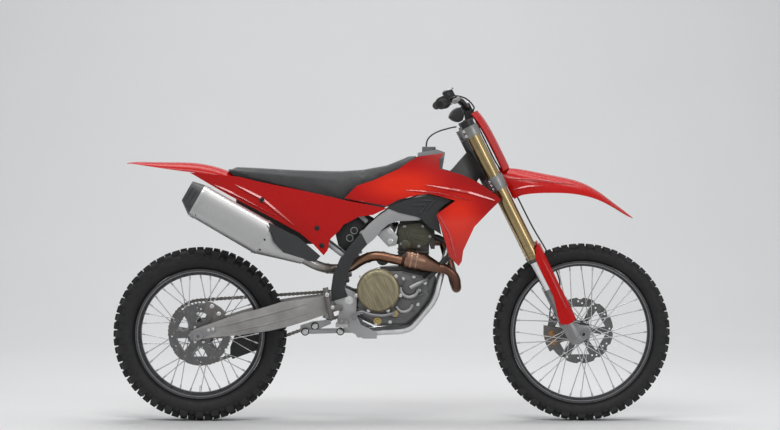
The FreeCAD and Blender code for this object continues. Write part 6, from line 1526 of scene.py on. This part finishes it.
LEG_AHEAD = -0.037
LEG_OUT = 0.105
SEAL = [(0, 0.0258), (0.004, 0.0285), (0.012, 0.0285), (0.014, 0.0275)]
SEAL_FOOT = 0.333
FORK_CAP = [(0, 0.017), (0.004, 0.017), (0.005, 0.015), (0.005, 0.007), (0.010, 0.006)]
FORK_CAP_FOOT = 0.936
COLLAR = [(0, 0.0272), (0.030, 0.0272), (0.032, 0.0255)]
COLLAR_FOOT = 0.912
SLEEVE_FOOT = 0.215
SLEEVE_LENGTH = 0.122
FORK_RINGS = [0.356, 0.372, 0.402]
PINCH_HEIGHTS = [0.888, 0.908, 0.658, 0.674, 0.690]
CALIPER_PISTONS = [(1.381, 0.3365), (1.388, 0.303)]
PISTON = [(0, 0.0125), (0.004, 0.0125), (0.005, 0.010)]
LEVER_LINE = [
    (1.0040, 0.302, 1.2600), (1.0047, 0.320, 1.2588), (1.0025, 0.340, 1.2566), (0.9990, 0.360, 1.2543),
    (0.9948, 0.380, 1.2514), (0.9890, 0.404, 1.2480),
]
LEVER_TIP = [(0, 0.0078), (0.0035, 0.0105), (0.0085, 0.0105), (0.011, 0.0075)]
GUARD_CREASE = [(1.335, 0.640), (1.385, 0.540), (1.430, 0.440)]
RESERVOIR = (0.967, -0.260, 1.6)
LID = [(0, 0.022), (0.004, 0.022), (0.0055, 0.020)]
SIGHT_GLASS = (0.968, 1.277)
SIGHT_PROFILE = [(0, 0.0068), (0.002, 0.0068), (0.002, 0.0045), (0.0012, 0.0045)]
GRIP_RADIUS = 0.0165
GRIP_LENGTH = 0.124
GRIP_RIBS = 11


def leg(side, w):
    """A place on the middle line of a fork leg."""
    return on_fork(LEG_AHEAD, side * LEG_OUT, w)


class BIKE_OT_front(bpy.types.Operator):
    """Seals, caps and bolts on the fork, and fittings on the handlebar"""

    bl_idname = "bike.front"
    bl_label = "Fork and handlebar"

    def execute(self, context):
        """Make the fork's and the handlebar's details."""
        self.posts("fork_seals", SEAL, SEAL_FOOT, 40, "duct_rubber")
        self.sleeves()
        spots = right_spots(["front_caliper"], CALIPER_PISTONS)
        pistons = [round_post("Piston", PISTON, place, aim, 28) for place, aim in spots]
        shown("caliper_pistons", joined("Pistons", pistons), "steering", "bronze")
        lines = [side_line(["fork_guards"], GUARD_CREASE, side) for side in (-1, 1)]
        edges = [ridge("Crease", line, 0.008, 0.005) for line in lines]
        shown("guard_creases", joined("Creases", edges), "steering", "red_gloss")
        self.posts("fork_caps", FORK_CAP, FORK_CAP_FOOT, 6, "black_bolt")
        self.clamp_bolts()
        self.controls()
        self.posts("fork_collars", COLLAR, COLLAR_FOOT, 40, "black_control")
        self.grips()
        return {"FINISHED"}

    def posts(self, name, profile, foot, steps, finish):
        """A turned piece on each fork leg."""
        pieces = [round_post("Post", profile, leg(side, foot), FORK_UP, steps) for side in (-1, 1)]
        shown(name, joined(name, pieces), "steering", finish)

    def sleeves(self):
        """The bright sleeves over the lower tubes and the rings round the outer tubes."""
        sleeves = []
        rings = []
        for side in (-1, 1):
            foot = leg(side, SLEEVE_FOOT)
            face, normal = touch(["fork_lowers"], foot + FORK_AHEAD * 0.2, -FORK_AHEAD)
            reach = (face - foot).length + 0.0004
            sleeves.append(round_post("Sleeve", [(0, reach), (SLEEVE_LENGTH, reach)], foot, FORK_UP, 48))
            for w in FORK_RINGS:
                start = leg(side, w)
                face, normal = touch(["fork_tubes"], start - FORK_AHEAD * 0.2, FORK_AHEAD)
                wide = (face - start).length
                ring = [(0, wide), (0.001, wide + 0.0016), (0.005, wide + 0.0016), (0.006, wide)]
                rings.append(round_post("Ring", ring, start, FORK_UP, 48))
        shown("fork_sleeves", joined("Sleeves", sleeves), "steering", "chrome")
        shown("fork_rings", joined("Rings", rings), "steering", "gold_tube")

    def clamp_bolts(self):
        """The pinch bolts of both clamps, and the bolts over the bar."""
        clamp = []
        bar = []
        for side in (-1, 1):
            aim = (Vector((0, side, 0)) - FORK_AHEAD * 0.6).normalized()
            for w in PINCH_HEIGHTS:
                place = on_fork(-0.062, side * 0.126, w)
                clamp.append((touch(["triple_clamps"], place + aim * 0.08, -aim)[0], aim))
            for shift in (-0.0125, 0.0125):
                above = on_fork(-0.008 + shift, side * 0.038, 1.06)
                bar.append((touch(["handlebar"], above, -FORK_UP)[0], FORK_UP))
        bolts("clamp_bolts", "steering", clamp, 0.0062, 0.006, "bolt_steel")
        bolts("bar_bolts", "steering", bar, 0.0062, 0.005, "bolt_steel")

    def controls(self):
        """The brake reservoir's lid, screws and sight glass, and both levers' blades."""
        place, normal = touch(["hand_controls"], at(*RESERVOIR), Vector((0, 0, -1)))
        lid = round_post("Lid", LID, place - normal * 0.0005, normal, 8)
        shown("reservoir_lid", lid, "steering", "axle_steel")
        glass, outward = on_side(["hand_controls"], *SIGHT_GLASS, -1)
        shown("sight_glass", round_post("Glass", SIGHT_PROFILE, glass, outward), "steering", "dark_cap")
        blades = []
        for side in (-1, 1):
            line = [at(x, side * y, z) for x, y, z in LEVER_LINE]
            blades.append(pipe("Blade", line, 0.0078))
            foot = line[-1] - Vector((0, side * 0.012, 0))
            blades.append(round_post("Tip", LEVER_TIP, foot, (0, side, 0)))
        shown("lever_blades", joined("Blades", blades), "steering", "axle_steel")
        # Two small screws stand in one place inside the lid, and don't show
        screws = [(place + outward * 0.005, outward)] * 2
        bolts("lid_screws", "steering", screws, 0.0032, 0.0018, "black_bolt")

    def grips(self):
        """The ribs round both grips."""
        ribs = []
        low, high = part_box("grips")
        for side in (-1, 1):
            outer = Vector((low.x + GRIP_RADIUS, side * high.y, low.z + GRIP_RADIUS))
            inner = Vector((high.x - GRIP_RADIUS, side * (high.y - GRIP_LENGTH), high.z - GRIP_RADIUS))
            for number in range(GRIP_RIBS):
                centre = outer.lerp(inner, 0.12 + number * 0.06)
                ribs.append(band("Rib", ["grips"], centre, inner - outer, 0.0032, 0.0012, 24, 0.05))
        shown("grip_ribs", joined("Ribs", ribs), "steering", "grip_rubber", smooth=0)


# Rear end

ARM_CREASES = [
    ([(0.075, 0.372), (0.240, 0.415), (0.420, 0.462)], 0.010, 0.0025),
    ([(0.075, 0.345), (0.260, 0.383), (0.440, 0.430)], 0.008, 0.0020),
]
PIVOT = (0.585, 0.477)
PIVOT_ACROSS = 0.106
LINK_BOLTS = [(0.412, 0.349), (0.450, 0.370), (0.550, 0.350)]
BRAKE_BOLTS = [(0.500, 0.500), (0.520, 0.450), (0.078, 0.424), (0.050, 0.452)]
ADJUSTER = [(-0.030, 0.358), (0.018, 0.368), (0.066, 0.378), (0.070, 0.354), (0.028, 0.338), (-0.030, 0.322)]
ADJUSTER_FACES = (0.1185, 0.1225)
ADJUSTER_SCREWS = [(0.040, 0.362), (0.057, 0.366)]
TOOTH = [(-0.004, 0.0042), (0.004, 0.0036), (0.008, 0.0012)]
TOOTH_ROWS = 7
TOOTH_GAP = 0.014
TOOTH_PLACES = (0.008, 0.024, 0.040)


class BIKE_OT_rear(bpy.types.Operator):
    """Creases, bolts and chain adjusters on the swingarm, the linkage's bolts and the footpegs' teeth"""

    bl_idname = "bike.rear"
    bl_label = "Rear end"

    def execute(self, context):
        """Make the rear end's details."""
        arm = ["swingarm"]
        creases = []
        ends = []
        adjusters = []
        screws = []
        for side in (-1, 1):
            out = Vector((0, side, 0))
            for points, width, height in ARM_CREASES:
                creases.append(strip("Crease", side_line(arm, points, side), width, height))
            ends.append((at(PIVOT[0], side * PIVOT_ACROSS, PIVOT[1]), out))
            inner, outer = [side * face for face in ADJUSTER_FACES]
            adjusters.append(side_plate("Adjuster", ADJUSTER, inner, outer, 0.001))
            screws += [(at(x, outer, z), out) for x, z in ADJUSTER_SCREWS]
        shown("arm_creases", joined("Creases", creases), "chassis", "swingarm_metal")
        bolts("pivot_bolts", "chassis", ends, 0.017, 0.007, "bolt_steel", False)
        link = right_spots(["rear_suspension"], LINK_BOLTS)
        washer = [(0, 0.0155), (0.003, 0.0155)]
        washers = [round_post("Washer", washer, place, aim, 28) for place, aim in link]
        shown("link_washers", joined("Washers", washers), "chassis", "black_bolt")
        heads = [(place + aim * 0.003, aim) for place, aim in link]
        bolts("link_bolts", "chassis", heads, 0.0115, 0.008, "bolt_steel", False)
        brake = right_spots(["rear_brake"], BRAKE_BOLTS)
        bolts("rear_brake_bolts", "chassis", brake, 0.0085, 0.006, "bolt_steel")
        shown("chain_adjusters", joined("Adjusters", adjusters), "chassis", "fork_metal")
        bolts("adjuster_screws", "chassis", screws, 0.0055, 0.005, "bolt_steel")
        self.peg_teeth()
        return {"FINISHED"}

    def peg_teeth(self):
        """The gripping teeth on both footpegs."""
        teeth = []
        low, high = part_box("footpegs")
        for side in (-1, 1):
            for row in range(TOOTH_ROWS):
                y = side * (high.y - 0.012 - row * TOOTH_GAP)
                for ahead in TOOTH_PLACES:
                    teeth.append((Vector((low.x + ahead, y, high.z)), Vector((0, 0, 1)), Vector((1, 0, 0))))
        mesh = placed(round_post("Tooth", TOOTH, steps=4), teeth, "peg_steel")
        shown("peg_teeth", mesh, "chassis", "peg_steel", smooth=0)


# Finishes

MESHED = {"shroud_left", "shroud_right"}
ROUNDED = {
    "main_frame", "swingarm", "engine_cases", "engine_covers", "engine_cylinder", "triple_clamps",
    "fork_lowers", "frame_guards", "footpegs", "silencer_can", "front_caliper", "rear_brake",
}


class BIKE_OT_finishes(bpy.types.Operator):
    """Finishes and soft edges on the CAD nodes that stay"""

    bl_idname = "bike.finishes"
    bl_label = "Finishes"

    def execute(self, context):
        """Give each node that stays its finish."""
        sharp = context.scene.bike_sizes.edge_round
        for node, obj in NODES.items():
            if obj.hide_render:
                continue
            obj.data.materials.clear()
            obj.data.materials.append(MATERIALS["red_mesh" if node in MESHED else SLOT_OF[node]])
            weld = obj.modifiers.new("Weld", "WELD")
            weld.merge_threshold = 1e-5
            if node in ROUNDED:
                round_edges(obj, sharp, 40)
            soft = obj.modifiers.new("Soft edges", "NODES")
            soft.node_group = TREES["soft"]
        return {"FINISHED"}


# Stage

SKY = (0.9, 0.95, 1.0, 1)
SKY_STRENGTH = 0.28
FLOOR_HALF = 7.0
FLOOR_NEAR = -12.0
FLOOR_BACK = 3.0
BEND = 3.0
BEND_STEPS = 16
BACKDROP_TOP = 7.0
# Each lamp's place, aim, size, power and colour
LAMPS = {
    "Key": ((-0.8, -2.8, 3.8), (0.2, 0, -0.4), (3.6, 1.2), 92, (1.0, 0.98, 0.96)),
    "Top": ((0.4, 0.4, 3.6), (0.2, 0, -0.4), (4.2, 1.4), 80, (1, 1, 1)),
    "Fill": ((3.4, -4.2, 1.2), (0.3, 0, -0.4), (1.2, 2.4), 36, (0.96, 0.98, 1.0)),
    "Sweep": ((0.2, 2.6, 4.6), (0.2, 5.6, 0.0), (6.0, 1.0), 95, (1, 1, 1)),
}
CAMERA_PLACE = (0.744, -10.600, 1.178)
LENS = 124.7
LENS_SHIFT = -0.122


class BIKE_OT_stage(bpy.types.Operator):
    """The pale floor, the background, the lamps and the camera"""

    bl_idname = "bike.stage"
    bl_label = "Stage"

    def execute(self, context):
        """Make the stage."""
        context.scene.view_settings.view_transform = "Standard"
        colour = context.scene.bike_colours.floor
        self.surroundings(context.scene, colour)
        self.floor(colour)
        self.lamps()
        self.camera(context.scene)
        return {"FINISHED"}

    def surroundings(self, scene, colour):
        """A dim sky that lights the bike, and the floor's colour where the sky is seen or reflected."""
        scene.world = bpy.data.worlds.new("Studio")
        scene.world.use_nodes = True
        work = NodeWork(scene.world.node_tree)
        work.tree.nodes.clear()
        light = work.result("ShaderNodeBackground", {"Color": SKY, "Strength": SKY_STRENGTH})
        seen = work.result("ShaderNodeBackground", {"Color": (*colour, 1), "Strength": 1.0})
        rays = work.add("ShaderNodeLightPath").outputs
        share = work.calc("MAXIMUM", rays["Is Camera Ray"], rays["Is Glossy Ray"])
        share = work.calc("MAXIMUM", share, rays["Is Transmission Ray"])
        mix = work.result("ShaderNodeMixShader", {"Fac": share, 1: light, 2: seen})
        work.add("ShaderNodeOutputWorld", {"Surface": mix})

    def floor(self, colour):
        """A floor that bends up into a backdrop."""
        profile = [(FLOOR_NEAR, 0.0), (FLOOR_BACK, 0.0)]
        for step in range(1, BEND_STEPS + 1):
            angle = math.pi / 2 * step / BEND_STEPS
            profile.append((FLOOR_BACK + BEND * math.sin(angle), BEND * (1 - math.cos(angle))))
        profile.append((FLOOR_BACK + BEND, BACKDROP_TOP))
        rows = [[(x, y, GROUND + z) for y, z in profile] for x in (-FLOOR_HALF, FLOOR_HALF)]
        floor = linked("Floor", skin("Floor", rows))
        soften(floor, 60)
        s = Shader("Studio floor", colour, 0.85)
        s.shade(s.noise(1.5, 2), 0.99, 1.01)
        floor.data.materials.append(s.material)

    def lamps(self):
        """The lamps over and beside the bike, and one on the backdrop."""
        for name, (place, aim, size, power, colour) in LAMPS.items():
            lamp = bpy.data.lights.new(name, "AREA")
            lamp.shape = "RECTANGLE"
            lamp.size, lamp.size_y = size
            lamp.energy = power
            lamp.color = colour
            obj = linked(name, lamp)
            obj.location = place
            obj.rotation_euler = (Vector(aim) - Vector(place)).to_track_quat("-Z", "Y").to_euler()

    def camera(self, scene):
        """The camera on the bike's right side."""
        camera = bpy.data.cameras.new("Camera")
        camera.sensor_width = 36
        camera.lens = LENS
        camera.shift_y = LENS_SHIFT
        camera.clip_end = 100
        viewer = linked("Camera", camera)
        viewer.location = at(*CAMERA_PLACE)
        viewer.rotation_euler = (math.radians(90), 0, 0)
        scene.camera = viewer


class BIKE_PT_panel(bpy.types.Panel):
    """Lists the bike's pieces and sizes"""

    bl_idname = "BIKE_PT_panel"
    bl_label = "Motocross bike"
    bl_space_type = "VIEW_3D"
    bl_region_type = "UI"
    bl_category = "Bike"

    def draw(self, context):
        """Draw the sizes, the colours and a button for each group."""
        layout = self.layout
        for group in (context.scene.bike_sizes, context.scene.bike_colours):
            for key in group.bl_rna.properties.keys():
                if key not in ("rna_type", "name"):
                    layout.prop(group, key)
        for operator in OPERATORS:
            layout.operator(operator.bl_idname)


OPERATORS = [
    BIKE_OT_wheels, BIKE_OT_chain, BIKE_OT_pads, BIKE_OT_hoses, BIKE_OT_bodywork, BIKE_OT_engine,
    BIKE_OT_exhaust, BIKE_OT_front, BIKE_OT_rear, BIKE_OT_finishes, BIKE_OT_stage,
]
CLASSES = [BikeSizes, BikeColours, *OPERATORS, BIKE_PT_panel]


def register():
    """Register the classes and the scene's properties."""
    for cls in CLASSES:
        bpy.utils.register_class(cls)
    bpy.types.Scene.bike_sizes = bpy.props.PointerProperty(type=BikeSizes)
    bpy.types.Scene.bike_colours = bpy.props.PointerProperty(type=BikeColours)


def unregister():
    """Undo register."""
    del bpy.types.Scene.bike_colours
    del bpy.types.Scene.bike_sizes
    for cls in reversed(CLASSES):
        bpy.utils.unregister_class(cls)


def main():
    """Make the bike and its stage."""
    register()
    MATERIALS.update(make_materials(bpy.context.scene.bike_colours))
    TREES.update(ring=ring_tree(), places=place_tree(), soft=soft_tree())
    bpy.ops.bike.wheels()
    bpy.ops.bike.chain()
    bpy.ops.bike.pads()
    bpy.ops.bike.hoses()
    bpy.ops.bike.bodywork()
    bpy.ops.bike.engine()
    bpy.ops.bike.exhaust()
    bpy.ops.bike.front()
    bpy.ops.bike.rear()
    bpy.ops.bike.finishes()
    bpy.ops.bike.stage()


if __name__ == "__main__":
    main()
